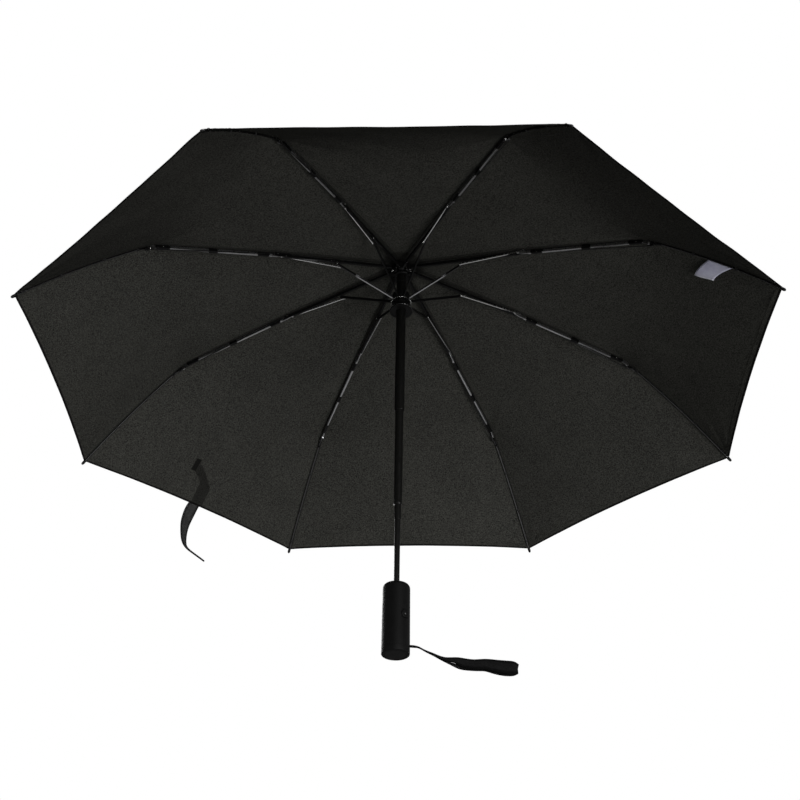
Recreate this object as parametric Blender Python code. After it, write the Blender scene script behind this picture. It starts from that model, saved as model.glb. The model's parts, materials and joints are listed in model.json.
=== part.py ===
"""Three-fold automatic umbrella, open, standing on the flat end of its handle.

+Z runs up the shaft and the origin is the centre of the handle's end face. Each rib arm is a chain
of pivoted bars in one upright plane through the shaft: top rib, middle rib and outer rib carry the
cloth, the stretcher holds the top rib off the runner, the link rod turns the middle rib and the
spring rod turns the outer rib. The shaft has three telescoping tubes.

Sizes are in millimetres and degrees; the scene is in metres. Rib pieces are drawn in a rib plane
with X outward, Z up and Y sideways. Points in that plane are (x, z), and a span is (low, high).
"""

import math

import bmesh
import bpy
from mathutils import Matrix, Vector

MM = 0.001

# ---- hub layout ----
RIBS = 8
FIRST_RIB_DEG = 22.5
RIB_STEP_DEG = 360.0 / RIBS
HINGE_R = 11.0            # radius of the rib pivots in the crown and in the runner
CROWN_Z = 578.0           # height of the pivots in the crown
RUNNER_Z = 527.0          # height of the pivots in the runner
UPPER_TUBE_TOP = 590.0

# ---- rib arm ----
TOP_SLOPE, MIDDLE_SLOPE, OUTER_SLOPE = -10.5, -12.5, -40.0
STRETCH_AT = 86.0         # stretcher pivot along the top rib
KNEE_1 = (170.0, 6.6)     # top rib to middle rib, in the top rib's frame
KNEE_2 = (175.0, -6.0)    # middle rib to outer rib, in the middle rib's frame
LINK_LEVER = 7.0          # link rod pivot along the stretcher
STRETCH_TURN, MIDDLE_TURN = 146.85, 182.0    # turned through in folding, in the top rib's frame
SPRING_ROD_ROOT = (5.7, -1.85)               # from knee 1, in the middle rib's frame
SPRING_ROD_LEVER, SPRING_ROD_DEG = 6.15, -32.5    # from knee 2, in the middle rib's frame
OUTER_LEN, OUTER_BOW = 200.0, 4.5
ROD_R, ROD_Z = 1.3, 2.7   # outer rib's rod, and its height over the pivot

# ---- cloth ----
CLOTH = 0.8               # thickness
CLOTH_CLEAR = 0.5         # gap over the outer rib


# ---- plane geometry of one rib arm ----
def unit(deg):
    return math.cos(math.radians(deg)), math.sin(math.radians(deg))


def turned(point, deg):
    c, s = unit(deg)
    return (c * point[0] - s * point[1], s * point[0] + c * point[1])


def offset(origin, point, deg):
    """Place of a point given in a frame that sits at origin and is turned by deg."""
    across, up = turned(point, deg)
    return (origin[0] + across, origin[1] + up)


def length_and_slope(start, end):
    dx, dz = end[0] - start[0], end[1] - start[1]
    return math.hypot(dx, dz), math.degrees(math.atan2(dz, dx))


def arch(f):
    """Parabola that is 0 at f = 0 and f = 1 and peaks at 1."""
    return 4.0 * f * (1.0 - f)


def rod_centre_z(x):
    """Height of the outer rod's centre line in the outer rib's frame."""
    return ROD_Z + OUTER_BOW * arch(x / OUTER_LEN)


def rib_deg(k):
    return FIRST_RIB_DEG + RIB_STEP_DEG * k


CROWN_PIVOT = (HINGE_R, CROWN_Z)
RUNNER_PIVOT = (HINGE_R, RUNNER_Z)
STRETCH_PIVOT = offset(CROWN_PIVOT, (STRETCH_AT, 0), TOP_SLOPE)
KNEE_1_AT = offset(CROWN_PIVOT, KNEE_1, TOP_SLOPE)
KNEE_2_AT = offset(KNEE_1_AT, KNEE_2, MIDDLE_SLOPE)
STRETCH_LEN, STRETCH_DEG = length_and_slope(STRETCH_PIVOT, RUNNER_PIVOT)
LINK_PIVOT = offset(STRETCH_PIVOT, (LINK_LEVER, 0), STRETCH_DEG)


def link_lug():
    """Lug on the middle rib, from knee 1, in the top rib's frame.

    Folding must carry the lug by the same vector as the link rod's pivot on the stretcher, so
    (rotation by MIDDLE_TURN - identity) * lug = move is solved for the lug.
    """
    start = turned((LINK_LEVER, 0), STRETCH_DEG - TOP_SLOPE)
    end = turned(start, STRETCH_TURN)
    move_x, move_z = end[0] - start[0], end[1] - start[1]
    c, s = unit(MIDDLE_TURN)
    c -= 1.0
    determinant = c * c + s * s
    return ((c * move_x + s * move_z) / determinant, (-s * move_x + c * move_z) / determinant)


LUG_TOP = link_lug()
LUG_MIDDLE = turned(LUG_TOP, TOP_SLOPE - MIDDLE_SLOPE)
LUG_AT = offset(KNEE_1_AT, LUG_TOP, TOP_SLOPE)
SPRING_ROOT_TOP = offset(KNEE_1, SPRING_ROD_ROOT, MIDDLE_SLOPE - TOP_SLOPE)
SPRING_PIVOT = offset(KNEE_1_AT, SPRING_ROD_ROOT, MIDDLE_SLOPE)
SPRING_LUG_MIDDLE = offset(KNEE_2, (SPRING_ROD_LEVER, 0), SPRING_ROD_DEG)
SPRING_LUG_OUTER = turned((SPRING_ROD_LEVER, 0), SPRING_ROD_DEG + MIDDLE_SLOPE - OUTER_SLOPE)
SPRING_LUG_AT = offset(KNEE_1_AT, SPRING_LUG_MIDDLE, MIDDLE_SLOPE)


# ---- mesh helpers ----
def mesh_of(verts, faces):
    """Closed mesh from vertices in millimetres, normals outward."""
    mesh = bpy.data.meshes.new("piece")
    bm = bmesh.new()
    corners = [bm.verts.new((x * MM, y * MM, z * MM)) for x, y, z in verts]
    for face in faces:
        bm.faces.new([corners[i] for i in face])
    bmesh.ops.recalc_face_normals(bm, faces=bm.faces)
    bm.to_mesh(mesh)
    bm.free()
    return mesh


def sweep(rings, closed=False):
    """Body through matching rings of points, capped at both ends unless it closes on itself."""
    n, count = len(rings[0]), len(rings)
    faces = []
    for i in range(count if closed else count - 1):
        a, b = i * n, ((i + 1) % count) * n
        for k in range(n):
            j = (k + 1) % n
            faces.append((a + k, b + k, b + j, a + j))
    if not closed:
        faces.append(tuple(range(n)))
        faces.append(tuple(range((count - 1) * n, count * n)))
    return mesh_of([point for ring in rings for point in ring], faces)


def slab(outline, y_span):
    """Plate with an (x, z) outline in the rib plane, between two sideways offsets."""
    return sweep([[(x, y, z) for x, z in outline] for y in y_span])


def box(x_span, y_span, z_span):
    (x0, x1), (z0, z1) = x_span, z_span
    return slab([(x0, z0), (x1, z0), (x1, z1), (x0, z1)], y_span)


def arc(centre, radius, start_deg, end_deg, steps):
    points = []
    for i in range(steps + 1):
        c, s = unit(start_deg + (end_deg - start_deg) * i / steps)
        points.append((centre[0] + radius * c, centre[1] + radius * s))
    return points


def lathe(profile, sides, closed=False):
    """Body turned about Z from (radius, z) points; an open profile starts and ends on the axis."""
    verts, rings = [], []
    for radius, z in profile:
        count = 1 if radius < 1e-9 else sides
        rings.append(list(range(len(verts), len(verts) + count)))
        for k in range(count):
            a = 2 * math.pi * k / sides
            verts.append((radius * math.cos(a), radius * math.sin(a), z))
    pairs = list(zip(rings, rings[1:]))
    if closed:
        pairs.append((rings[-1], rings[0]))
    faces = []
    for a, b in pairs:
        for k in range(sides):
            j = (k + 1) % sides
            if len(a) == 1:
                faces.append((a[0], b[k], b[j]))
            elif len(b) == 1:
                faces.append((a[k], b[0], a[j]))
            else:
                faces.append((a[k], b[k], b[j], a[j]))
    return mesh_of(verts, faces)


def combine(base, others, operation):
    """Boolean of a mesh with other meshes, one after another, as a new mesh."""
    for other in others:
        target = bpy.data.objects.new("target", base)
        tool = bpy.data.objects.new("tool", other)
        for ob in (target, tool):
            bpy.context.scene.collection.objects.link(ob)
        modifier = target.modifiers.new("combine", "BOOLEAN")
        modifier.operation = operation
        modifier.solver = "EXACT"
        modifier.object = tool
        depsgraph = bpy.context.evaluated_depsgraph_get()
        depsgraph.update()
        base = bpy.data.meshes.new_from_object(target.evaluated_get(depsgraph))
        for ob in (target, tool):
            bpy.data.objects.remove(ob, do_unlink=True)
    return base


def cut(base, *others):
    return combine(base, others, "DIFFERENCE")


def join(base, *others):
    return combine(base, others, "UNION")


def spin(mesh, deg, axis):
    mesh.transform(Matrix.Rotation(math.radians(deg), 4, axis))
    return mesh


def shift(mesh, x, y, z):
    mesh.transform(Matrix.Translation((x * MM, y * MM, z * MM)))
    return mesh


def tilt(mesh, slope):
    """Turn a piece drawn along X to its slope in the rib plane."""
    return spin(mesh, -slope, "Y")


def place(name, mesh, mat, at=(0.0, 0.0, 0.0), spin_deg=0.0):
    mesh.materials.clear()
    mesh.materials.append(mat)
    ob = bpy.data.objects.new(name, mesh)
    ob.location = [c * MM for c in at]
    ob.rotation_euler = (0.0, 0.0, math.radians(spin_deg))
    bpy.context.scene.collection.objects.link(ob)


# ---- rib pieces, each about its own pivot ----
BAR_HALF = 1.2            # half thickness of the rib bars
LAP = 0.15                # half-lapped ends stop this far from the mid-plane
KNEE_R = 2.4              # rounded ends at the knees
SADDLE_Y = 2.0            # outer side of the top rib's stretcher saddle
STRETCHER_HALF, STRETCHER_EYE_R = 0.9, 1.6
PIN_R, EYE_HOLE_R = 0.6, 0.9
ROD_NECK = 1.5            # a flat rod's eye narrows to the bar over this length

# Sideways spans of pins and flat parts
STRETCH_PIN_Y = (-1.15, 1.6)
KNEE_1_PIN_Y = (-1.15, 0.6)
SPRING_PIN_Y = (0.6, 2.6)
LINK_PIN_Y = (-2.65, -0.4)
KNEE_2_PIN_Y = (-0.7, 1.15)
LINK_ROD_Y = (-2.6, -1.5)
SPRING_ROD_Y = (1.6, 2.5)
OUTER_LUG_Y = (LAP, 1.1)

TOP_BAR_Z = (1.8, 5.8)
MIDDLE_BAR_Z = (-4.8, -0.8)
BULGE_Z = (-5.5, -0.2)    # deeper stretch of the middle rib
BULGE_AT, BULGE_FOOT_HALF, BULGE_FLAT_HALF = 90.0, 6.0, 5.4

# Cutters reach past every rib piece to these limits
CUT_X0, CUT_X1, CUT_Y, CUT_Z = -14.0, 190.0, 4.0, 14.0

# Outer rib stations: x, radius
OUTER_ROD = [(x, ROD_R) for x in (9.6, 30, 50, 70, 90, 110, 130, 150, 170, 193.2)] + [
    (193.8, 2.0), (198.0, 2.0), (199.5, 1.5), (OUTER_LEN, 0.8),
]


def pin(at, y_span, radius=PIN_R, sides=10):
    return slab(arc(at, radius, 7, 367, sides)[:-1], y_span)


def eye_hole():
    return pin((0, 0), (-CUT_Y, CUT_Y), EYE_HOLE_R, 12)


def top_rib():
    bottom, top = TOP_BAR_Z
    stretch = (STRETCH_AT, 0)
    outline = (
        arc((0, 0), 2.0, 125, 300, 10)
        + [(5.0, bottom), (STRETCH_AT - 3.4, bottom), (STRETCH_AT - 1.6, -0.2)]
        + arc(stretch, 1.8, 215, 325, 5)
        + [(STRETCH_AT + 1.6, -0.2), (STRETCH_AT + 3.4, bottom), (158.0, bottom), (169.0, 2.4)]
        + arc(SPRING_ROOT_TOP, 1.9, -100, 55, 7)
        + arc(KNEE_1, KNEE_R, 45, 120, 5)
        + [(163.0, top), (3.4, top), (0.6, 4.4)]
    )
    whole_z = (-CUT_Z, CUT_Z)
    body = cut(
        slab(outline, (-BAR_HALF, SADDLE_Y)),
        # thin the bar on both sides of the stretcher saddle
        box((CUT_X0, STRETCH_AT - 3.2), (BAR_HALF, CUT_Y), whole_z),
        box((STRETCH_AT + 3.2, CUT_X1), (BAR_HALF, CUT_Y), whole_z),
        # room for the stretcher's eye beside the saddle
        box((STRETCH_AT - 8, STRETCH_AT + 8), (-CUT_Y, BAR_HALF), (-CUT_Z, bottom)),
        # half lap at knee 1
        box((160.5, CUT_X1), (-CUT_Y, LAP), whole_z),
        eye_hole(),
    )
    body = join(
        body,
        pin(stretch, STRETCH_PIN_Y),
        pin(KNEE_1, KNEE_1_PIN_Y),
        pin(SPRING_ROOT_TOP, SPRING_PIN_Y),
    )
    return tilt(body, TOP_SLOPE)


def stretcher():
    outline = (
        arc((0, 0), STRETCHER_EYE_R, 90, 270, 8)
        + arc((STRETCH_LEN, 0), STRETCHER_EYE_R, -90, 90, 8)
    )
    body = cut(slab(outline, (-STRETCHER_HALF, STRETCHER_HALF)), eye_hole())
    return tilt(join(body, pin((LINK_LEVER, 0), LINK_PIN_Y)), STRETCH_DEG)


def flat_rod(start, end, eye_r, bar_half, y_span):
    """Flat rod with a round eye at each end, the one at its start bored."""
    length, slope = length_and_slope(start, end)
    bar_x0 = eye_r + ROD_NECK
    bar_x1 = length - eye_r - ROD_NECK
    outline = (
        arc((0, 0), eye_r, 45, 315, 9)
        + [(bar_x0, -bar_half), (bar_x1, -bar_half)]
        + arc((length, 0), eye_r, -135, 135, 9)
        + [(bar_x1, bar_half), (bar_x0, bar_half)]
    )
    return tilt(cut(slab(outline, y_span), eye_hole()), slope)


def link_rod():
    return flat_rod(LINK_PIVOT, LUG_AT, eye_r=1.7, bar_half=1.0, y_span=LINK_ROD_Y)


def spring_rod():
    return flat_rod(SPRING_PIVOT, SPRING_LUG_AT, eye_r=1.6, bar_half=0.6, y_span=SPRING_ROD_Y)


def middle_rib():
    bar_low, bar_high = MIDDLE_BAR_Z
    bulge_low, bulge_high = BULGE_Z
    foot_0, foot_1 = BULGE_AT - BULGE_FOOT_HALF, BULGE_AT + BULGE_FOOT_HALF
    flat_0, flat_1 = BULGE_AT - BULGE_FLAT_HALF, BULGE_AT + BULGE_FLAT_HALF
    outline = (
        arc(LUG_MIDDLE, 1.7, 100, 285, 7)
        + [(1.5, bar_low), (foot_0, bar_low), (flat_0, bulge_low), (flat_1, bulge_low),
           (foot_1, bar_low), (166, bar_low)]
        + arc(KNEE_2, KNEE_R, 215, 395, 9)
        + [(172.0, bar_high), (foot_1, bar_high), (flat_1, bulge_high), (flat_0, bulge_high),
           (foot_0, bar_high), (4.2, bar_high)]
        + arc((0, 0), KNEE_R, 10, 140, 6)
    )
    # half laps at knee 1 and knee 2
    body = cut(
        slab(outline, (-BAR_HALF, BAR_HALF)),
        box((CUT_X0, 9), (-LAP, CUT_Y), (-CUT_Z, CUT_Z)),
        box((166.5, CUT_X1), (-LAP, CUT_Y), (-CUT_Z, CUT_Z)),
        eye_hole(),
    )
    return tilt(join(body, pin(KNEE_2, KNEE_2_PIN_Y)), MIDDLE_SLOPE)


def outer_rib():
    """Bowed round rod with a thicker tip, joined to a flat lug at the knee."""
    outline = (
        arc((0, 0), KNEE_R, 70, 280, 10)
        + arc(SPRING_LUG_OUTER, 1.8, -95, 30, 6)
        + [(13.0, 1.9), (15.5, 2.3), (15.5, 3.7), (12.0, 3.9), (2.5, 3.9)]
    )
    lug = cut(slab(outline, OUTER_LUG_Y), eye_hole())
    rings = []
    for x, radius in OUTER_ROD:
        z = rod_centre_z(x)
        around = [unit(45 * k) for k in range(8)]
        rings.append([(x, radius * c, z + radius * s) for c, s in around])
    return tilt(join(sweep(rings), lug), OUTER_SLOPE)


# ---- hub pieces ----
HUB_BORE_R = 6.8
CROWN_BOTTOM, CROWN_TOP = CROWN_Z - 7.0, CROWN_Z + 7.2
CROWN_R = 14.0
FLANGE_R, FLANGE_Z = 15.9, 505.5    # flange at the foot of the runner
RUNNER_R, RUNNER_TOP = 13.2, RUNNER_Z + 7.4
SLOT_HALF, SLOT_R = 1.5, (8.5, 22.0)
SLOT_OVERRUN = 10.0       # slot cutters pass both ends of the hub by this much
HINGE_WIRE_R = 0.6

# Ferrule cap profile: radius, z
FERRULE_PROFILE = [
    (0, 590.3), (2.2, 590.3), (2.2, 592.0), (8.6, 592.0), (9.0, 592.5), (8.4, 594.6),
    (6.6, 597.0), (3.8, 598.7), (0, 599.2),
]


def hinge_wire():
    """Octagonal loop of round wire whose straight sides cross the slots square to the ribs."""
    corner = math.cos(math.pi / RIBS)
    rings = []
    for k in range(RIBS):
        c, s = unit(rib_deg(k + 0.5))
        ring = []
        for j in range(8):
            across, up = unit(45 * j)
            radius = (HINGE_R + HINGE_WIRE_R * across) / corner
            ring.append((radius * c, radius * s, CROWN_Z + HINGE_WIRE_R * up))
        rings.append(ring)
    return sweep(rings, closed=True)


def rib_slots(bottom, top):
    z_span = (bottom - SLOT_OVERRUN, top + SLOT_OVERRUN)
    return [
        spin(box(SLOT_R, (-SLOT_HALF, SLOT_HALF), z_span), rib_deg(k), "Z") for k in range(RIBS)
    ]


def crown():
    profile = [
        (HUB_BORE_R, CROWN_BOTTOM), (CROWN_R - 1.4, CROWN_BOTTOM), (CROWN_R, CROWN_BOTTOM + 1.4),
        (CROWN_R, CROWN_TOP - 1.0), (CROWN_R - 1.0, CROWN_TOP), (HUB_BORE_R, CROWN_TOP),
    ]
    body = lathe(profile, 48, closed=True)
    return join(cut(body, *rib_slots(CROWN_BOTTOM, CROWN_TOP)), hinge_wire())


def runner():
    profile = [
        (HUB_BORE_R, FLANGE_Z), (FLANGE_R - 0.6, FLANGE_Z), (FLANGE_R, FLANGE_Z + 0.6),
        (FLANGE_R, FLANGE_Z + 2.5), (RUNNER_R, FLANGE_Z + 3.3), (RUNNER_R, RUNNER_TOP - 1.0),
        (RUNNER_R - 0.8, RUNNER_TOP), (HUB_BORE_R, RUNNER_TOP),
    ]
    return cut(lathe(profile, 48, closed=True), *rib_slots(FLANGE_Z, RUNNER_TOP))


def ferrule_cap():
    return lathe(FERRULE_PROFILE, 36)


# ---- handle ----
HANDLE_R, HANDLE_TOP_R, HANDLE_H = 16.9, 16.5, 89.7
HANDLE_BORE_R, HANDLE_BORE_FLOOR = 7.2, 36.0
SOCKET_R, SOCKET_FLOOR = 3.8, 9.0
BUTTON_DEG, BUTTON_Z, BUTTON_R = -48.0, 47.0, 5.0
POCKET_R = BUTTON_R + 0.35
POCKET_START, POCKET_END = 6.0, 22.0    # distances from the shaft axis


def handle_shell():
    profile = [
        (0, 0), (HANDLE_R - 1.6, 0), (HANDLE_R - 0.5, 0.5), (HANDLE_R, 1.6),
        (HANDLE_TOP_R, HANDLE_H - 3.1), (HANDLE_TOP_R - 0.4, HANDLE_H - 1.5),
        (HANDLE_TOP_R - 1.5, HANDLE_H - 0.4), (HANDLE_TOP_R - 3.1, HANDLE_H),
        (HANDLE_BORE_R, HANDLE_H), (HANDLE_BORE_R, HANDLE_BORE_FLOOR),
        (SOCKET_R, HANDLE_BORE_FLOOR), (SOCKET_R, SOCKET_FLOOR), (0, SOCKET_FLOOR),
    ]
    pocket = lathe(
        [(0, POCKET_START), (POCKET_R, POCKET_START), (POCKET_R, POCKET_END), (0, POCKET_END)], 32
    )
    pocket = shift(spin(pocket, 90, "Y"), 0, 0, BUTTON_Z)
    return cut(lathe(profile, 64), spin(pocket, BUTTON_DEG, "Z"))


def push_button():
    """Round button with a latch tongue that reaches towards the shaft; its axis is its local X."""
    profile = [
        (0, 8.0), (2.2, 8.0), (2.2, 11.0), (BUTTON_R - 0.3, 11.0), (BUTTON_R, 11.3),
        (BUTTON_R, 16.5), (BUTTON_R - 0.7, 17.2), (0, 17.4),
    ]
    return spin(lathe(profile, 32), 90, "Y")


# ---- shaft ----
TUBE_SIDES = 32
LOWER_R, LOWER_BORE_R = 3.5, 2.6
LOWER_Z0, LOWER_Z1 = 9.4, 215.0
LOWER_CHAMFER = 0.3
NECK_R, NECK_BORE_R, NECK_Z0, NECK_Z1 = 4.3, 3.8, 180.0, 202.4    # foot of the middle tube
MIDDLE_R, MIDDLE_BORE_R, MIDDLE_Z1 = 5.3, 4.6, 372.0
UPPER_R, UPPER_BORE_R, UPPER_Z0, UPPER_BORE_TOP = 6.5, 5.7, 342.0, 569.0
SPRING_TURNS, SPRING_STEPS, SPRING_SIDES = 24, 14, 5    # steps are per turn
SPRING_R, SPRING_WIRE_R = 3.5, 0.45
SPRING_Z0, SPRING_Z1 = 217.0, 565.0


def lower_tube():
    side = LOWER_R - LOWER_CHAMFER
    profile = [
        (LOWER_BORE_R, LOWER_Z0), (side, LOWER_Z0), (LOWER_R, LOWER_Z0 + LOWER_CHAMFER),
        (LOWER_R, LOWER_Z1 - LOWER_CHAMFER), (side, LOWER_Z1), (LOWER_BORE_R, LOWER_Z1),
    ]
    return lathe(profile, TUBE_SIDES, closed=True)


def middle_tube():
    profile = [
        (NECK_BORE_R, NECK_Z0), (NECK_R - 0.3, NECK_Z0), (NECK_R, NECK_Z0 + 0.5),
        (NECK_R, NECK_Z1 - 1.4), (MIDDLE_R, NECK_Z1), (MIDDLE_R, MIDDLE_Z1 - 0.4),
        (MIDDLE_R - 0.4, MIDDLE_Z1), (MIDDLE_BORE_R, MIDDLE_Z1),
        (MIDDLE_BORE_R, NECK_Z1 + 1.0), (NECK_BORE_R, NECK_Z1 + 0.2),
    ]
    return lathe(profile, TUBE_SIDES, closed=True)


def upper_tube():
    """Tube with a solid top."""
    profile = [
        (0, UPPER_BORE_TOP), (UPPER_BORE_R, UPPER_BORE_TOP), (UPPER_BORE_R, UPPER_Z0),
        (UPPER_R - 0.3, UPPER_Z0), (UPPER_R, UPPER_Z0 + 0.4), (UPPER_R, UPPER_TUBE_TOP - 0.5),
        (UPPER_R - 0.5, UPPER_TUBE_TOP), (0, UPPER_TUBE_TOP),
    ]
    return lathe(profile, TUBE_SIDES)


def main_spring():
    steps = SPRING_TURNS * SPRING_STEPS
    rings = []
    for i in range(steps + 1):
        a = 2 * math.pi * i / SPRING_STEPS
        z = SPRING_Z0 + (SPRING_Z1 - SPRING_Z0) * i / steps
        ring = []
        for j in range(SPRING_SIDES):
            b = 2 * math.pi * j / SPRING_SIDES
            radius = SPRING_R + SPRING_WIRE_R * math.cos(b)
            ring.append(
                (radius * math.cos(a), radius * math.sin(a), z + SPRING_WIRE_R * math.sin(b))
            )
        rings.append(ring)
    return sweep(rings)


# ---- canopy ----
GORE_STEPS = 4
GORE_DRAW = 0.02          # share of the radius drawn in at the middle of a gore
# Inner face of the cloth above a rib: radius, z
CLOTH_HUB = [(3.2, UPPER_TUBE_TOP + 0.75), (8.6, UPPER_TUBE_TOP + 0.7)]
CLOTH_KNEE_1, CLOTH_KNEE_2 = (180.2, 556.8), (349.6, 516.4)
# Cloth stations along the outer rib, the last at the hem
CLOTH_OUTER_X = (22.0, 46.0, 70.0, 94.0, 118.0, 142.0, 168.0, 192.6)


def rib_line():
    """Inner face of the cloth above a rib, from the crown to the hem: (radius, z)."""
    line = list(CLOTH_HUB)
    for steps, a, b in ((6, CLOTH_HUB[-1], CLOTH_KNEE_1), (5, CLOTH_KNEE_1, CLOTH_KNEE_2)):
        for i in range(1, steps + 1):
            line.append((a[0] + (b[0] - a[0]) * i / steps, a[1] + (b[1] - a[1]) * i / steps))
    for x in CLOTH_OUTER_X:
        line.append(offset(KNEE_2_AT, (x, rod_centre_z(x) + ROD_R + CLOTH_CLEAR), OUTER_SLOPE))
    return line


def gore_ring(radius, z, draw):
    ring = []
    for k in range(RIBS):
        c0, s0 = unit(rib_deg(k))
        c1, s1 = unit(rib_deg(k + 1))
        for step in range(GORE_STEPS):
            f = step / GORE_STEPS
            reach = radius * (1.0 - draw * arch(f))
            ring.append((reach * (c0 + (c1 - c0) * f), reach * (s0 + (s1 - s0) * f), z))
    return ring


def canopy():
    """Eight gores: straight across from rib to rib, drawn in slightly towards the middle of each."""
    line = rib_line()
    inner, outer = [], []
    for i, (radius, z) in enumerate(line):
        if i < len(CLOTH_HUB):
            # flat over the hub
            normal_r, normal_z, draw = 0.0, 1.0, 0.0
        else:
            before, after = line[i - 1], line[min(i + 1, len(line) - 1)]
            dr, dz = after[0] - before[0], after[1] - before[1]
            length = math.hypot(dr, dz)
            normal_r, normal_z, draw = -dz / length, dr / length, GORE_DRAW
        inner.append(gore_ring(radius, z, draw))
        outer.append(gore_ring(radius + CLOTH * normal_r, z + CLOTH * normal_z, draw))
    return sweep(inner + outer[::-1], closed=True)


# ---- straps ----
STRAP_PIVOT = (18.6, 0.0, 11.2)
# Wrist strap from its pivot: x, y, z, width, thickness, twist (width upright at 0, along Y at 90)
STRAP_STATIONS = [
    (-0.9, 0, 0, 1.6, 1.6, 90), (0, 0, 0, 2.2, 2.2, 90), (7.6, 0, -0.6, 2.2, 2.2, 85),
    (15.3, 0.3, -5.6, 2.4, 2.2, 60), (27, 0.6, -11.0, 3.0, 2.2, 40),
    (34, 0.6, -14.6, 4.0, 2.2, 25), (42, 0.2, -18.2, 6.4, 2.3, 12),
    (52, -0.4, -20.7, 11.0, 2.5, 4), (62, -0.6, -22.6, 13.4, 2.6, 0),
    (74, -0.2, -23.5, 13.4, 2.6, 0), (86, 0.4, -23.8, 14.4, 2.6, 0),
    (98, 0.6, -25.9, 16.8, 2.6, 0), (110, 0.6, -27.7, 17.8, 2.6, 0),
    (120.5, 0.6, -28.0, 17.6, 2.6, 0), (122.4, 0.6, -28.1, 14.5, 2.2, 0),
]

TIE_DEG = 135.0           # middle of a gore
TIE_AT = (459.8, -2.8, 396.2)
TIE_THICK = 1.2
# Tie strap, X outward at TIE_DEG: point, width, direction across the band
TIE_STATIONS = [
    ((420.9, 25.8, 431.9), 15.0, (0.57, 0.63, -0.52)),
    ((430.0, 10.9, 423.6), 17.0, (0.51, 0.72, -0.47)),
    ((437.5, 0.8, 416.7), 17.5, (0.24, 0.95, -0.22)),
    ((447.9, -4.0, 407.1), 17.5, (-0.05, 1.0, 0.05)),
    (TIE_AT, 17.5, (-0.04, 1.0, 0.0)),
    ((463.6, 0.6, 386.5), 17.5, (-0.06, 1.0, -0.02)),
    ((463.0, 5.0, 374.4), 17.0, (-0.15, 0.97, -0.08)),
    ((462.2, 10.4, 355.0), 16.0, (-0.42, 0.82, -0.22)),
    ((462.0, 11.0, 339.3), 15.5, (-0.55, 0.72, -0.32)),
    ((462.0, 9.5, 326.1), 15.0, (-0.64, 0.62, -0.40)),
    ((462.0, 6.9, 319.3), 15.0, (-0.70, 0.52, -0.46)),
    ((462.0, 1.4, 315.1), 15.0, (-0.74, 0.47, -0.48)),
    ((462.0, -5.0, 313.4), 15.0, (-0.74, 0.45, -0.49)),
    ((462.0, -15.6, 310.5), 15.0, (-0.74, 0.45, -0.49)),
    ((462.0, -29.4, 306.6), 14.0, (-0.74, 0.45, -0.49)),
]


def ribbon(stations):
    """Flat band with bevelled edges through (point, width, thickness, direction across)."""
    points = [Vector(station[0]) for station in stations]
    rings = []
    for i, (_, width, thick, across) in enumerate(stations):
        along = (points[min(i + 1, len(points) - 1)] - points[max(i - 1, 0)]).normalized()
        across = Vector(across)
        across = (across - along * across.dot(along)).normalized()
        normal = along.cross(across)
        h, t = width / 2, thick / 2
        e = min(h, t) * 0.5
        section = (
            (-h, -t + e), (-h + e, -t), (h - e, -t), (h, -t + e),
            (h, t - e), (h - e, t), (-h + e, t), (-h, t - e),
        )
        rings.append([tuple(points[i] + across * u + normal * v) for u, v in section])
    mesh = sweep(rings)
    bm = bmesh.new()
    bm.from_mesh(mesh)
    bmesh.ops.triangulate(bm, faces=bm.faces)
    bm.to_mesh(mesh)
    bm.free()
    return mesh


def wrist_strap():
    """Cord from the handle that turns edge-on and widens into folded webbing."""
    stations = []
    for x, y, z, width, thick, twist in STRAP_STATIONS:
        c, s = unit(twist)
        stations.append(((x, y, z), width, thick, (0.0, s, c)))
    return ribbon(stations)


def tie_strap():
    """Band on the outside of one gore just above the hem, hanging below it."""
    band = ribbon([(point, width, TIE_THICK, across) for point, width, across in TIE_STATIONS])
    return shift(band, -TIE_AT[0], -TIE_AT[1], -TIE_AT[2])


# ---- materials ----
def material(name, colour, metallic, roughness):
    mat = bpy.data.materials.new(name)
    mat.use_nodes = True
    shader = mat.node_tree.nodes["Principled BSDF"]
    shader.inputs["Base Color"].default_value = (*colour, 1.0)
    shader.inputs["Metallic"].default_value = metallic
    shader.inputs["Roughness"].default_value = roughness
    mat.diffuse_color = (*colour, 1.0)
    return mat


def black(name, red_green, blue, roughness, metallic=0.0):
    return material(name, (red_green, red_green, blue), metallic, roughness)


def steel(name, red_green, blue, roughness):
    return material(name, (red_green, red_green, blue), 1.0, roughness)


# ---- assembly ----
def build_arms(painted):
    alloy = steel("rib_alloy", red_green=0.42, blue=0.43, roughness=0.35)
    bright = steel("bright_rod_steel", red_green=0.62, blue=0.63, roughness=0.3)
    wire = black("black_spring_wire", red_green=0.01, blue=0.01, roughness=0.35, metallic=0.4)
    fibre = black("outer_rod_black", red_green=0.012, blue=0.012, roughness=0.4, metallic=0.1)
    arm = [
        ("top_rib", top_rib(), CROWN_PIVOT, painted),
        ("stretcher", stretcher(), STRETCH_PIVOT, alloy),
        ("link_rod", link_rod(), LINK_PIVOT, bright),
        ("middle_rib", middle_rib(), KNEE_1_AT, alloy),
        ("spring_rod", spring_rod(), SPRING_PIVOT, wire),
        ("outer_rib", outer_rib(), KNEE_2_AT, fibre),
    ]
    for k in range(RIBS):
        c, s = unit(rib_deg(k))
        for name, mesh, (radius, z), mat in arm:
            place(f"{name}_{k + 1}", mesh, mat, (radius * c, radius * s, z), rib_deg(k))


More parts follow.
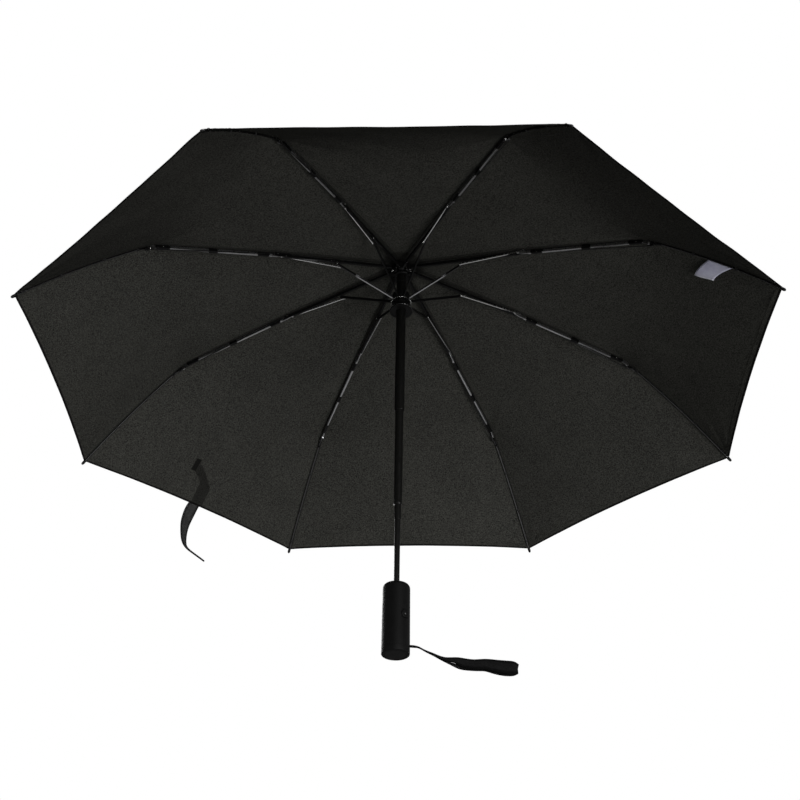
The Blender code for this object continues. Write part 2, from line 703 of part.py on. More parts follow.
def main():
    for ob in list(bpy.data.objects):
        bpy.data.objects.remove(ob, do_unlink=True)

    soft = black("soft_touch_black", red_green=0.012, blue=0.013, roughness=0.62)
    nylon = black("black_nylon", red_green=0.01, blue=0.011, roughness=0.4)
    button = black("button_black", red_green=0.016, blue=0.018, roughness=0.35)
    painted = black(
        "painted_black_steel", red_green=0.008, blue=0.009, roughness=0.32, metallic=0.3
    )
    spring = steel("spring_steel", red_green=0.35, blue=0.36, roughness=0.3)
    cloth = black("pongee_black", red_green=0.02, blue=0.021, roughness=0.85)
    webbing = black("webbing_black", red_green=0.014, blue=0.015, roughness=0.9)
    tape = black("tie_tape_black", red_green=0.018, blue=0.019, roughness=0.88)

    place("handle_shell", handle_shell(), soft)
    place("push_button", push_button(), button, (0, 0, BUTTON_Z), BUTTON_DEG)
    place("lower_tube", lower_tube(), painted)
    place("middle_tube", middle_tube(), painted)
    place("upper_tube", upper_tube(), painted)
    place("main_spring", main_spring(), spring)
    place("crown", crown(), nylon)
    place("runner", runner(), nylon)
    place("ferrule_cap", ferrule_cap(), nylon)
    place("canopy", canopy(), cloth)
    place("wrist_strap", wrist_strap(), webbing, STRAP_PIVOT)
    place("tie_strap", tie_strap(), tape, (*turned(TIE_AT[:2], TIE_DEG), TIE_AT[2]), TIE_DEG)
    build_arms(painted)


main()
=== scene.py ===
"""An open three-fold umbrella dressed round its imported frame: cloth, rib fittings, hub, handle, straps.

The shaft stands on Z with the handle's end at z = 0 and the canopy on top. Eight ribs
leave the shaft at 22.5 degrees from +X and every 45 degrees on. A gore is the cloth from one rib
to the next one anticlockwise. "In the rib plane" means (radius, height) coordinates.
"""
import json
import math

import bmesh
import bpy
import numpy as np
from mathutils import Matrix, Vector

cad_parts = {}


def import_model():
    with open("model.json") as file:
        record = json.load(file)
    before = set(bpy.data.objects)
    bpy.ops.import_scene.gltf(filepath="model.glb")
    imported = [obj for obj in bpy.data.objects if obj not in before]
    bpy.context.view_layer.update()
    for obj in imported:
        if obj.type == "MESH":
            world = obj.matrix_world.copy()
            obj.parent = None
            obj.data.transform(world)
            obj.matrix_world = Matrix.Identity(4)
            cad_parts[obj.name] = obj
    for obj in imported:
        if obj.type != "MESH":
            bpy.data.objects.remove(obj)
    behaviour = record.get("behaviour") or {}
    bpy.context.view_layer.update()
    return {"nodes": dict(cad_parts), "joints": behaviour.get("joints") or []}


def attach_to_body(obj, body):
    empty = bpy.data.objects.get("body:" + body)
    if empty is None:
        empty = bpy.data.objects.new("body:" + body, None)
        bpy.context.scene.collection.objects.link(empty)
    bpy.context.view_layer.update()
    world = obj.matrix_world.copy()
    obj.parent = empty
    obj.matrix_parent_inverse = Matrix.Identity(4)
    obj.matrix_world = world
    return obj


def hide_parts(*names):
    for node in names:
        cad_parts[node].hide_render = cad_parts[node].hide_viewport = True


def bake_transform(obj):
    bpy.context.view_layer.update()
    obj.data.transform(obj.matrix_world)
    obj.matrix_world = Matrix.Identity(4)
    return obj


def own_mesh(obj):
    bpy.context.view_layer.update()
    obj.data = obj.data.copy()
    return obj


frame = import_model()
JOINTS = {joint["name"]: joint for joint in frame["joints"]}
MM = 0.001
RIBS = 8
HALF_GORE = math.pi / RIBS
ANGLES = [math.radians(22.5 + 45.0 * k) for k in range(RIBS)]
UP = np.array([0.0, 0.0, 1.0])


# ------------------------------------------------------------------ rib geometry
def rib_point(name):
    """A rib 1 joint's place in the rib plane, in metres."""
    x, y, z = JOINTS[name]["pos_m"]
    return np.array([math.hypot(x, y), z])


CROWN = rib_point("canopy_fold")
STRETCHER_HINGE = rib_point("stretcher_1_hinge")
LINK_HINGE = rib_point("link_rod_1_hinge")
KNEE_1 = rib_point("middle_rib_1_hinge")
KNEE_2 = rib_point("outer_rib_1_hinge")
SPRING_HINGE = rib_point("spring_rod_1_hinge")


def along_and_up(degrees):
    """Unit vectors along and across a bar of that slope, in the rib plane."""
    slope = math.radians(degrees)
    cos, sin = math.cos(slope), math.sin(slope)
    return np.array([cos, sin]), np.array([-sin, cos])


TOP_ALONG, TOP_UP = along_and_up(-10.5)
MIDDLE_ALONG, MIDDLE_UP = along_and_up(-12.5)
OUTER_ALONG, OUTER_UP = along_and_up(-40.0)


# Points in the rib plane from millimetres along and across each bar of the rib.
def on_top(x, y):
    return CROWN + (TOP_ALONG * x + TOP_UP * y) * MM


def on_middle(x, y):
    return KNEE_1 + (MIDDLE_ALONG * x + MIDDLE_UP * y) * MM


def on_outer(x, y):
    return KNEE_2 + (OUTER_ALONG * x + OUTER_UP * y) * MM


# The outer rod lies above its bar line and bows upward, in mm.
ROD_LENGTH, ROD_BOW, ROD_OFFSET = 200.0, 4.5, 2.7
CLOTH_OVER_ROD = 2.2   # cloth above the rod's axis


def rod_axis(x):
    """Height of the outer rod's axis above its bar line, in mm."""
    share = float(np.clip(x / ROD_LENGTH, 0, 1))
    return ROD_OFFSET + ROD_BOW * 4 * share * (1 - share)


def outward(angle):
    return np.array([math.cos(angle), math.sin(angle), 0.0])


def sideways(angle):
    return np.array([-math.sin(angle), math.cos(angle), 0.0])


def in_rib(k, point, side=0.0):
    """World point from a point in rib k's plane and a sideways offset."""
    angle = ANGLES[k]
    return Vector(outward(angle) * point[0] + sideways(angle) * side + UP * point[1])


# ------------------------------------------------------------------ shader helper
class Shader:
    """A node tree with short ways to add and join nodes; values may be numbers or sockets."""

    def __init__(self, owner, surface="Principled BSDF"):
        owner.use_nodes = True
        self.owner = owner
        self.tree = owner.node_tree
        self.surface = self.tree.nodes[surface]

    def add(self, kind, **properties):
        node = self.tree.nodes.new(kind)
        for key, value in properties.items():
            setattr(node, key, value)
        return node

    def put(self, socket, value):
        if isinstance(value, bpy.types.NodeSocket):
            self.tree.links.new(value, socket)
        else:
            socket.default_value = value

    def set(self, name, value):
        self.put(self.surface.inputs[name], value)

    def math(self, operation, a, b=0.0, c=None, clamp=False):
        node = self.add("ShaderNodeMath", operation=operation, use_clamp=clamp)
        self.put(node.inputs[0], a)
        self.put(node.inputs[1], b)
        if c is not None:
            self.put(node.inputs[2], c)
        return node.outputs[0]

    def plus(self, a, b):
        return self.math("ADD", a, b)

    def minus(self, a, b):
        return self.math("SUBTRACT", a, b)

    def times(self, a, b):
        return self.math("MULTIPLY", a, b)

    def absolute(self, a):
        return self.math("ABSOLUTE", a)

    def position(self):
        return self.add("ShaderNodeTexCoord").outputs["Object"]

    def coords(self):
        """Object coordinates through a mapping node."""
        mapping = self.add("ShaderNodeMapping")
        self.put(mapping.inputs["Vector"], self.position())
        return mapping.outputs["Vector"]

    def noise(self, vector, scale, detail=2.0, rough=0.5):
        node = self.add("ShaderNodeTexNoise")
        self.put(node.inputs["Vector"], vector)
        self.put(node.inputs["Scale"], scale)
        self.put(node.inputs["Detail"], detail)
        self.put(node.inputs["Roughness"], rough)
        return node.outputs["Fac"]

    def attribute(self, name):
        return self.add("ShaderNodeAttribute", attribute_name=name).outputs["Fac"]

    def remap(self, value, source, to=(0.0, 1.0)):
        """Straight map from the source range to another."""
        node = self.add("ShaderNodeMapRange")
        self.put(node.inputs["Value"], value)
        for key, limit in zip(("From Min", "From Max", "To Min", "To Max"), (*source, *to)):
            node.inputs[key].default_value = limit
        return node.outputs["Result"]

    def near(self, value, centre, fade):
        """1 close to the centre, fading to 0 between the two distances."""
        return self.remap(self.absolute(self.minus(value, centre)), fade, to=(1.0, 0.0))

    def mix(self, factor, first, second):
        node = self.add("ShaderNodeMix", data_type="RGBA")
        self.put(node.inputs["Factor"], factor)
        self.put(node.inputs["A"], first)
        self.put(node.inputs["B"], second)
        return node.outputs["Result"]

    def bump(self, height, strength, distance, normal=None):
        node = self.add("ShaderNodeBump")
        self.put(node.inputs["Strength"], strength)
        self.put(node.inputs["Distance"], distance)
        self.put(node.inputs["Height"], height)
        if normal is not None:
            self.put(node.inputs["Normal"], normal)
        return node.outputs["Normal"]

    def wave(self, coordinate, per_metre):
        """A sine of a coordinate in metres, 0 to 1."""
        sine = self.math("SINE", self.times(coordinate, per_metre * 2 * math.pi))
        return self.plus(self.times(sine, 0.5), 0.5)

    def curve(self, value, points):
        """Piecewise straight response, value and points both 0 to 1."""
        node = self.add("ShaderNodeFloatCurve")
        line = node.mapping.curves[0]
        line.points[0].location = points[0]
        line.points[1].location = points[-1]
        for point in points[1:-1]:
            line.points.new(*point)
        for point in line.points:
            point.handle_type = "VECTOR"
        node.mapping.update()
        self.put(node.inputs["Value"], value)
        return node.outputs["Value"]


def new_shader(name):
    return Shader(bpy.data.materials.new(name))


def grey(value, tint=(1, 1, 1)):
    return (value * tint[0], value * tint[1], value * tint[2], 1.0)


# ------------------------------------------------------------------ materials
# Dark band behind the tie tape: share of its length, centre, half width (each 0 to 1).
STRAP_BAND = (
    (0.0, 0.75, 0.0), (0.083, 0.743, 0.21), (0.167, 0.696, 0.375), (0.265, 0.656, 0.53),
    (0.373, 0.521, 0.41), (0.487, 0.417, 0.48), (0.65, 0.397, 0.51), (1.0, 0.376, 0.50),
)


def strap_shade(net, across, along):
    """Light kept where the tie tape lies behind one gore: a bent band and a stitched end."""
    travel = net.remap(along, (0.495, 0.555))
    # the curves scaled to metres across the gore
    centre_curve = net.curve(travel, [(share, centre) for share, centre, _ in STRAP_BAND])
    centre = net.minus(net.times(centre_curve, 0.07), 0.03)
    half = net.times(net.curve(travel, [(share, half) for share, _, half in STRAP_BAND]), 0.02)
    outside = net.minus(net.absolute(net.minus(across, centre)), half)
    band_mask = net.remap(outside, (-0.0006, 0.0006), to=(1.0, 0.0))
    band_mask = net.times(band_mask, net.remap(along, (0.4965, 0.4980)))
    end_mask = net.times(
        net.near(across, centre=0.0304, fade=(0.0036, 0.0048)),
        net.near(along, centre=0.4998, fade=(0.0100, 0.0112)),
    )
    band_loss, end_loss = 0.64, 0.93
    shade = net.minus(1.0, net.times(band_mask, band_loss))
    shade = net.times(shade, net.minus(1.0, net.times(end_mask, end_loss)))
    loss = net.times(net.minus(1.0, shade), net.attribute("strap"))
    return net.minus(1.0, loss)


def pongee():
    """Black plain-woven cloth: fine grainy weave, with painted shade along the ribs, at the hem edge,
    round the crown and at grazing view.
    """
    net = new_shader("pongee_cloth")
    place = net.coords()
    across, along = net.attribute("across"), net.attribute("along")
    threads = 1150.0   # per metre
    weave = net.times(net.minus(net.wave(across, threads), net.wave(along, threads)), 0.5)
    grain = net.noise(place, scale=900.0, detail=1.0, rough=0.6)
    slub = net.noise(place, scale=560.0, detail=1.0, rough=0.6)
    cloud = net.noise(place, scale=16.0)
    grain_share, slub_share, cloud_share = 0.95, 0.95, 0.12
    tone = net.plus(net.times(grain, grain_share), net.times(slub, slub_share))
    tone = net.plus(tone, net.times(cloud, cloud_share))
    # painted shade: light left near a rib, at the hem edge and round the crown, by distance in metres
    seam = net.remap(net.attribute("d_rib"), (0.0014, 0.0036), to=(0.42, 1.0))
    hem = net.remap(net.attribute("d_hem"), (0.0019, 0.0028), to=(0.04, 1.0))
    crown = net.remap(along, (0.0275, 0.0315), to=(0.42, 1.0))
    light = net.times(
        net.times(seam, hem), net.times(crown, strap_shade(net, across, along))
    )
    # painted shade: the colour darkens where the cloth is seen along it
    facing = net.add("ShaderNodeLayerWeight")
    facing.inputs["Blend"].default_value = 0.5
    lean = net.remap(facing.outputs["Facing"], (0.56, 0.90), to=(1.0, 0.50))
    light = net.times(light, lean)
    factor = net.math("MULTIPLY", net.remap(tone, (0.69, 1.33)), light, clamp=True)
    dark, pale = grey(0.0045, tint=(1, 1, 0.95)), grey(0.0425, tint=(1, 1, 0.885))
    net.set("Base Color", net.mix(factor, dark, pale))
    net.set("Roughness", net.remap(grain, (0.3, 0.7), to=(0.80, 0.95)))
    net.set("Specular IOR Level", 0.0)
    net.set("Sheen Weight", 0.0)
    net.set("Sheen Roughness", 0.45)
    net.set("Sheen Tint", (0.7, 0.7, 0.68, 1))
    # a row of stitches along the hem
    stitch_line, stitch_half, stitches = 0.0062, 0.00035, 380.0
    from_line = net.absolute(net.minus(net.attribute("d_hem"), stitch_line))
    stitch = net.times(
        net.math("LESS_THAN", from_line, stitch_half), net.wave(across, stitches)
    )
    normal = net.bump(weave, strength=0.3, distance=0.00006)
    normal = net.bump(grain, strength=0.35, distance=0.00010, normal=normal)
    ripple = net.noise(place, scale=55.0, detail=3.0)
    normal = net.bump(ripple, strength=0.35, distance=0.0012, normal=normal)
    net.set("Normal", net.bump(stitch, strength=0.6, distance=0.0003, normal=normal))
    return net.owner


def painted(name, colour, rough, grain, wear, metallic=0.0, spec=0.10):
    """Painted or plated metal: slight orange peel, rubbed brighter in patches."""
    net = new_shader(name)
    place = net.coords()
    speck = net.noise(place, scale=grain, detail=4.0, rough=0.6)
    rub = net.noise(place, scale=70.0, detail=3.0, rough=0.7)
    worn = net.remap(rub, (0.62, 0.78), to=(0.0, wear))
    brighter = tuple(min(1, c * 2.2 + 0.01) for c in colour)
    net.set("Base Color", net.mix(worn, (*colour, 1), (*brighter, 1)))
    net.set("Metallic", metallic)
    net.set("Roughness", net.remap(speck, (0.3, 0.7), to=(rough - 0.07, rough + 0.09)))
    net.set("Specular IOR Level", spec)
    net.set("Normal", net.bump(speck, strength=0.12, distance=0.0002))
    return net.owner


def drawn_metal(name, colour, rough):
    """Bright metal with a fine grain."""
    net = new_shader(name)
    line = net.noise(net.coords(), scale=900.0, detail=3.0, rough=0.6)
    patch = net.noise(net.coords(), scale=60.0)
    line_share, patch_share, darkest = 0.4, 0.6, 0.72
    shade = net.plus(net.times(line, line_share), net.times(patch, patch_share))
    darker = tuple(c * darkest for c in colour)
    net.set("Base Color", net.mix(net.remap(shade, (0.3, 0.7)), (*darker, 1), (*colour, 1)))
    net.set("Metallic", 1.0)
    net.set("Roughness", net.remap(line, (0.3, 0.7), to=(rough - 0.08, rough + 0.1)))
    net.set("Normal", net.bump(line, strength=0.15, distance=0.0001))
    return net.owner


def stretcher_painted_reflection():
    """Painted reflection: black paint at the rib end, pale metal near the shaft, standing for a lamp's
    reflection on two stretchers.
    """
    net = new_shader("stretcher_painted_reflection")
    split = net.add("ShaderNodeSeparateXYZ")
    net.put(split.inputs["Vector"], net.position())
    squares = [net.math("POWER", split.outputs[axis], 2.0) for axis in "XY"]
    radius = net.math("SQRT", net.plus(*squares))
    # a ragged edge to the painted reflection, in metres
    edge = net.noise(net.coords(), scale=90.0, detail=3.0, rough=0.6)
    radius = net.plus(radius, net.times(net.minus(edge, 0.5), 0.012))
    reflection_mask = net.remap(radius, (0.060, 0.068), to=(1.0, 0.0))
    paint, metal = (0.003, 0.003, 0.003, 1), (0.42, 0.42, 0.43, 1)
    net.set("Base Color", net.mix(reflection_mask, paint, metal))
    net.set("Metallic", net.remap(reflection_mask, (0, 1), to=(0.25, 1.0)))
    net.set("Roughness", 0.27)
    fine = net.noise(net.coords(), scale=500.0)
    net.set("Normal", net.bump(fine, strength=0.1, distance=0.0001))
    return net.owner


def moulded(name, value, rough, bumpy, scale=1500.0, spec=0.14):
    """Moulded or rubber-coated plastic with a fine eggshell texture."""
    net = new_shader(name)
    place = net.coords()
    fine = net.noise(place, scale=scale, detail=3.0, rough=0.6)
    cloud = net.noise(place, scale=38.0, detail=3.0, rough=0.55)
    patch = net.remap(cloud, (0.3, 0.7))
    net.set("Base Color", net.mix(patch, grey(value * 0.85), grey(value * 1.2)))
    net.set("Roughness", net.remap(cloud, (0.25, 0.75), to=(rough - 0.05, rough + 0.07)))
    net.set("Specular IOR Level", spec)
    net.set("Normal", net.bump(fine, strength=bumpy, distance=0.00015))
    return net.owner


def webbing(name, value, per_metre=900.0):
    """Flat woven tape: chevron weave across the band, fuzz on top, darker edges."""
    net = new_shader(name)
    across, along = net.attribute("across"), net.attribute("along")
    chevron = net.wave(net.plus(along, net.absolute(across)), per_metre)
    ends = net.wave(across, per_metre * 1.3)
    fuzz = net.noise(net.coords(), scale=1400.0, detail=3.0, rough=0.7)
    edge = net.attribute("edge")
    streak = net.noise(net.coords(), scale=120.0, detail=3.0, rough=0.6)
    # how much each pattern counts in the colour
    chevron_tone, fuzz_tone, streak_tone, edge_tone = 0.55, 0.6, 0.7, 0.55
    tone = net.plus(net.times(chevron, chevron_tone), net.times(fuzz, fuzz_tone))
    tone = net.plus(tone, net.times(net.minus(streak, 0.5), streak_tone))
    tone = net.minus(tone, net.times(edge, edge_tone))
    factor = net.remap(tone, (0.2, 1.0))
    net.set("Base Color", net.mix(factor, grey(value * 0.35), grey(value * 1.7)))
    net.set("Roughness", 0.85)
    net.set("Specular IOR Level", 0.03)
    # and in the relief
    chevron_rise, ends_rise, edge_rise = 0.6, 0.4, 0.8
    height = net.plus(net.times(chevron, chevron_rise), net.times(ends, ends_rise))
    height = net.plus(height, net.times(edge, edge_rise))
    normal = net.bump(height, strength=0.8, distance=0.00035)
    net.set("Normal", net.bump(fuzz, strength=0.4, distance=0.0002, normal=normal))
    return net.owner


def satin():
    """Pale satin label."""
    net = new_shader("satin_label")
    ribs = net.wave(net.attribute("along"), per_metre=1400.0)
    soft = net.noise(net.coords(), scale=120.0)
    darker, paler = (0.27, 0.27, 0.36, 1), (0.35, 0.35, 0.43, 1)
    net.set("Base Color", net.mix(net.remap(soft, (0.3, 0.7)), darker, paler))
    net.set("Roughness", 0.42)
    net.set("Sheen Weight", 0.4)
    net.set("Normal", net.bump(ribs, strength=0.3, distance=0.0001))
    return net.owner


LOOK = {
    "cloth": pongee(),
    "paint": painted("painted_rib", (0.0020,) * 3, rough=0.36, grain=220.0, wear=0.03),
    "shaft": painted(
        "painted_shaft", (0.0024, 0.0024, 0.0022), rough=0.34, grain=260.0, wear=0.03
    ),
    # painted reflection on stretchers 5 and 8
    "stretcher": stretcher_painted_reflection(),
    "bright": drawn_metal("bright_rod", (0.80, 0.80, 0.80), rough=0.22),
    # a darker copy of the bright rod: painted shade on link rods 2 and 3, painted highlight on the
    # runner's flange rim
    "bright_painted_shade_and_highlight": drawn_metal("bright_rod_painted_shade_and_highlight", (0.30, 0.30, 0.30), rough=0.26),
    "stretcher_dark": painted(
        "stretcher_paint", (0.002,) * 3, rough=0.36, grain=240.0, wear=0.02
    ),
    "alloy": drawn_metal("rib_alloy", (0.40, 0.40, 0.405), rough=0.30),
    "steel": drawn_metal("spring_steel", (0.20, 0.20, 0.21), rough=0.28),
    "rivet": drawn_metal("rivet_nickel", (0.80, 0.80, 0.78), rough=0.16),
    "wire": painted(
        "spring_wire", (0.007,) * 3, rough=0.30, grain=260.0, wear=0.1, metallic=0.3, spec=0.2
    ),
    "rod": painted("outer_rod", (0.003,) * 3, rough=0.15, grain=400.0, wear=0.05, spec=0.8),
    "nylon": moulded("black_nylon", 0.0020, rough=0.40, bumpy=0.2, spec=0.08),
    "soft": moulded("soft_touch", 0.0021, rough=0.50, bumpy=0.35, scale=2200.0, spec=0.05),
    "button": moulded("button_plastic", 0.0022, rough=0.42, bumpy=0.2, spec=0.06),
    "cap": moulded("handle_cap", 0.0030, rough=0.5, bumpy=0.25, scale=1800.0, spec=0.06),
    "mark": moulded("pale_mark", 0.07, rough=0.5, bumpy=0.1),
    "web": webbing("strap_webbing", 0.0046),
    "tape": webbing("tie_tape", 0.030, per_metre=1400.0),
    "thread": moulded("black_thread", 0.010, rough=0.8, bumpy=0.4, scale=3000.0),
    "label": satin(),
}


# ------------------------------------------------------------------ mesh helpers
def link_mesh(name, mesh):
    ob = bpy.data.objects.new(name, mesh)
    bpy.context.scene.collection.objects.link(ob)
    return ob


def new_object(name, verts, faces, look, attributes=None, normals=None):
    """Smooth mesh object with per-vertex float attributes and optional normals."""
    mesh = bpy.data.meshes.new(name)
    mesh.from_pydata([tuple(v) for v in verts], [], [tuple(f) for f in faces])
    mesh.update()
    for key, values in (attributes or {}).items():
        layer = mesh.attributes.new(key, "FLOAT", "POINT")
        layer.data.foreach_set("value", np.asarray(values, np.float32))
    mesh.polygons.foreach_set("use_smooth", [True] * len(mesh.polygons))
    mesh.materials.append(look)
    if normals is not None:
        mesh.normals_split_custom_set_from_vertices([tuple(v) for v in normals])
    return link_mesh(name, mesh)


def sharpen(ob, degrees):
    """Smooth shading with edges steeper than the angle kept sharp."""
    ob.data.polygons.foreach_set("use_smooth", [True] * len(ob.data.polygons))
    ob.data.set_sharp_from_angle(angle=math.radians(degrees))
    return ob


def attach(ob, part, replaces=None):
    """Tell the frame which part carries the object, and hide the frame piece it replaces."""
    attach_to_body(ob, part)
    if replaces:
        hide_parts(replaces)


def stitch(rings, closed=False, flip=False):
    """Faces between successive rings of vertex numbers; a ring of one is a point."""
    faces = []
    pairs = list(zip(rings, rings[1:]))
    if closed:
        pairs.append((rings[-1], rings[0]))
    for near, far in pairs:
        sides = max(len(near), len(far))
        for k in range(sides):
            after = (k + 1) % sides
            if len(near) == 1:
                face = (near[0], far[after], far[k])
            elif len(far) == 1:
                face = (near[k], near[after], far[0])
            else:
                face = (near[k], near[after], far[after], far[k])
            faces.append((face[0], *face[:0:-1]) if flip else face)
    return faces


def sheet_faces(rows, columns):
    """Faces of an open grid of rows by columns points."""
    starts = [r * columns + c for r in range(rows - 1) for c in range(columns - 1)]
    return [(s, s + 1, s + columns + 1, s + columns) for s in starts]


def turned(profile, sides, place):
    """Vertices and rings of a (radius, height) profile; place puts x, y, height in the world."""
    verts, rings = [], []
    for radius, height in profile:
        count = sides if radius > 1e-9 else 1
        rings.append(range(len(verts), len(verts) + count))
        for step in range(count):
            turn = 2 * math.pi * step / sides
            verts.append(place(radius * math.cos(turn), radius * math.sin(turn), height))
    return verts, rings


def lathe(profile, look, sides=96, closed=False, name="piece"):
    """Turned body about Z from (radius, height) in millimetres."""
    metres = [(radius * MM, height * MM) for radius, height in profile]
    verts, rings = turned(metres, sides, lambda x, y, z: (x, y, z))
    return sharpen(new_object(name, verts, stitch(rings, closed), look), 30)


def tube(points, radii, look, sides=12, name="piece"):
    """Round bar through world points, with one radius or one for each point."""
    points = [Vector(p) for p in points]
    count = len(points)
    if not hasattr(radii, "__len__"):
        radii = [radii] * count
    verts = []
    for i, point in enumerate(points):
        ahead = (points[min(i + 1, count - 1)] - points[max(i - 1, 0)]).normalized()
        side = ahead.cross(Vector((0, 0, 1)))
        if side.length < 1e-4:
            side = ahead.cross(Vector((1, 0, 0)))
        side.normalize()
        top = side.cross(ahead)
        for k in range(sides):
            turn = 2 * math.pi * k / sides
            verts.append(
                point + side * (radii[i] * math.cos(turn)) + top * (radii[i] * math.sin(turn))
            )
    rings = [range(i * sides, (i + 1) * sides) for i in range(count)]
    faces = stitch(rings) + [rings[0][::-1], rings[-1]]
    return sharpen(new_object(name, verts, faces, look), 50)


def circle(radius, height, steps):
    """Closed run of points round the Z axis."""
    turns = [2 * math.pi * i / steps for i in range(steps + 1)]
    return [(radius * math.cos(turn), radius * math.sin(turn), height) for turn in turns]


def prism(low, high, look, bevel):
    """Bevelled solid between two matching outlines of world points."""
    bm = bmesh.new()
    low = [bm.verts.new(p) for p in low]
    high = [bm.verts.new(p) for p in high]
    bm.faces.new(low)
    bm.faces.new(high[::-1])
    count = len(low)
    for i in range(count):
        after = (i + 1) % count
        bm.faces.new((low[i], high[i], high[after], low[after]))
    bmesh.ops.recalc_face_normals(bm, faces=bm.faces)
    bmesh.ops.bevel(
        bm, geom=list(bm.edges), offset=bevel, segments=2, affect="EDGES", profile=0.5
    )
    mesh = bpy.data.meshes.new("piece")
    bm.to_mesh(mesh)
    bm.free()
    mesh.materials.append(look)
    return link_mesh("piece", mesh)


def merge(name, pieces):
    """One object from several; keeps each one's material."""
    verts, faces, looks, face_looks = [], [], [], []
    for ob in pieces:
        base = len(verts)
        verts += [v.co.copy() for v in ob.data.vertices]
        for look in ob.data.materials:
            if look not in looks:
                looks.append(look)
        for face in ob.data.polygons:
            faces.append([base + v for v in face.vertices])
            face_looks.append(looks.index(ob.data.materials[face.material_index]))
    for ob in pieces:
        bpy.data.objects.remove(ob, do_unlink=True)
    merged = new_object(name, verts, faces, looks[0])
    for look in looks[1:]:
        merged.data.materials.append(look)
    merged.data.polygons.foreach_set("material_index", face_looks)
    return sharpen(merged, 40)


# ------------------------------------------------------------------ the cloth surface
# Line of the cloth above a rib, in the rib plane, in metres.
CLOTH_START, CLOTH_SHOULDER = np.array([0.0032, 0.59095]), np.array([0.0086, 0.5909])
CLOTH_KNEE_1, CLOTH_KNEE_2 = np.array([0.1802, 0.5572]), np.array([0.3496, 0.5168])
CAP_LENGTH = 0.0054    # finely divided length at the shaft
HEM_LENGTH = 0.02      # finely divided length at the hem
KNEE_SOFTNESS = 0.012  # reach of the rounding over a knee


def rib_curve():
    """Row distances along a rib, the cloth line at each row, and the knees' distances."""

    def straight(start, end):
        return [start + (end - start) * f for f in np.linspace(0, 1, 25)[1:]]

    points = [CLOTH_START, CLOTH_SHOULDER] + straight(CLOTH_SHOULDER, CLOTH_KNEE_1)
    at_knee_1 = len(points) - 1
    points += straight(CLOTH_KNEE_1, CLOTH_KNEE_2)
    at_knee_2 = len(points) - 1
    points += [on_outer(x, rod_axis(x) + CLOTH_OVER_ROD) for x in np.linspace(18.0, 195.8, 22)]
    points = np.array(points)
    steps = np.linalg.norm(np.diff(points, axis=0), axis=1)
    distance = np.r_[0, np.cumsum(steps)]
    knee_1, knee_2, end = distance[at_knee_1], distance[at_knee_2], distance[-1]
    # even rows, denser towards the hem, with rows exactly at the knees
    rows = np.unique(np.r_[
        np.linspace(0, CAP_LENGTH, 3),
        np.linspace(CAP_LENGTH, knee_1, 34),
        np.linspace(knee_1, knee_2, 36),
        np.linspace(knee_2, end - HEM_LENGTH, 38),
        np.linspace(end - HEM_LENGTH, end, 9),
    ].round(7))
    line = np.column_stack([np.interp(rows, distance, points[:, axis]) for axis in range(2)])
    # soften the bends over the knees
    near = sum(np.exp(-((rows - knee) / KNEE_SOFTNESS) ** 2) for knee in (knee_2, knee_1))
    near = np.clip(near[:, None], 0, 1)
    for _ in range(6):
        mean = line.copy()
        mean[1:-1] = 0.25 * line[:-2] + 0.5 * line[1:-1] + 0.25 * line[2:]
        line = line + (mean - line) * near
    return rows, line, knee_1, knee_2


ROWS, RIB_LINE, KNEE_1_ALONG, KNEE_2_ALONG = rib_curve()
ROW_COUNT = len(ROWS)
ROW_WIDTH = RIB_LINE[:, 0] * 2 * math.sin(HALF_GORE)   # straight from rib to rib
COLUMNS = 44
HALF_COLUMNS = COLUMNS // 2
# Share of the way across a gore at each column line, closer together near the ribs.
EVEN = np.linspace(0, 1, COLUMNS + 1)
SHARE = 0.5 * (1 - np.cos(math.pi * EVEN)) * 0.8 + 0.2 * EVEN


def spans(steps):
    """Length of line belonging to each grid point."""
    owned = np.zeros(len(steps) + 1)
    owned[1:-1] = 0.5 * (steps[1:] + steps[:-1])
    return owned


def gore_shape():
    """Stretched membrane between two ribs: fixed along both and at the crown, free at the hem."""
    along_hem_to_crown = (0.55, 0.40)   # tension along the rib, and how much fades to the hem
    hem_stiffness = 0.60
    rib_a, rib_b = outward(ANGLES[0])[:2], outward(ANGLES[1])[:2]
    start = np.zeros((ROW_COUNT, COLUMNS + 1, 3))
    for column, share in enumerate(SHARE):
        start[:, column, :2] = RIB_LINE[:, :1] * (rib_a * (1 - share) + rib_b * share)
        start[:, column, 2] = RIB_LINE[:, 1]
    chord = np.maximum(ROW_WIDTH, 0.002)
    share_steps, row_steps = np.diff(SHARE), np.diff(ROWS)
    tension, fading = along_hem_to_crown
    pull = tension - fading * np.clip((ROWS / ROWS[-1] - 0.55) / 0.45, 0, 1)
    pull = 0.5 * (pull[1:] + pull[:-1])
    row_span = spans(row_steps)
    row_span[0], row_span[-1] = row_steps[0] / 2, row_steps[-1] / 2
    column_span = spans(share_steps)
    across = row_span[:, None] / (share_steps[None, :] * chord[:, None])
    across[-1] += hem_stiffness / (share_steps * chord[-1])
    chord_between = 0.5 * (chord[1:] + chord[:-1])
    down = pull[:, None] * (column_span[None, :] * chord_between[:, None]) / row_steps[:, None]
    fixed = np.zeros(start.shape[:2], bool)
    fixed[:, 0] = fixed[:, -1] = True
    fixed[:3] = True
    weight = np.zeros(start.shape[:2])
    weight[:, 1:] += across
    weight[:, :-1] += across
    weight[1:] += down
    weight[:-1] += down
    weight = np.maximum(weight, 1e-12)[..., None]
    across, down = across[..., None], down[..., None]
    shape = start.copy()
    for _ in range(5000):
        relaxed = np.zeros_like(shape)
        relaxed[:, 1:] += across * shape[:, :-1]
        relaxed[:, :-1] += across * shape[:, 1:]
        relaxed[1:] += down * shape[:-1]
        relaxed[:-1] += down * shape[1:]
        relaxed /= weight
        relaxed[fixed] = start[fixed]
        shape = relaxed
    return shape


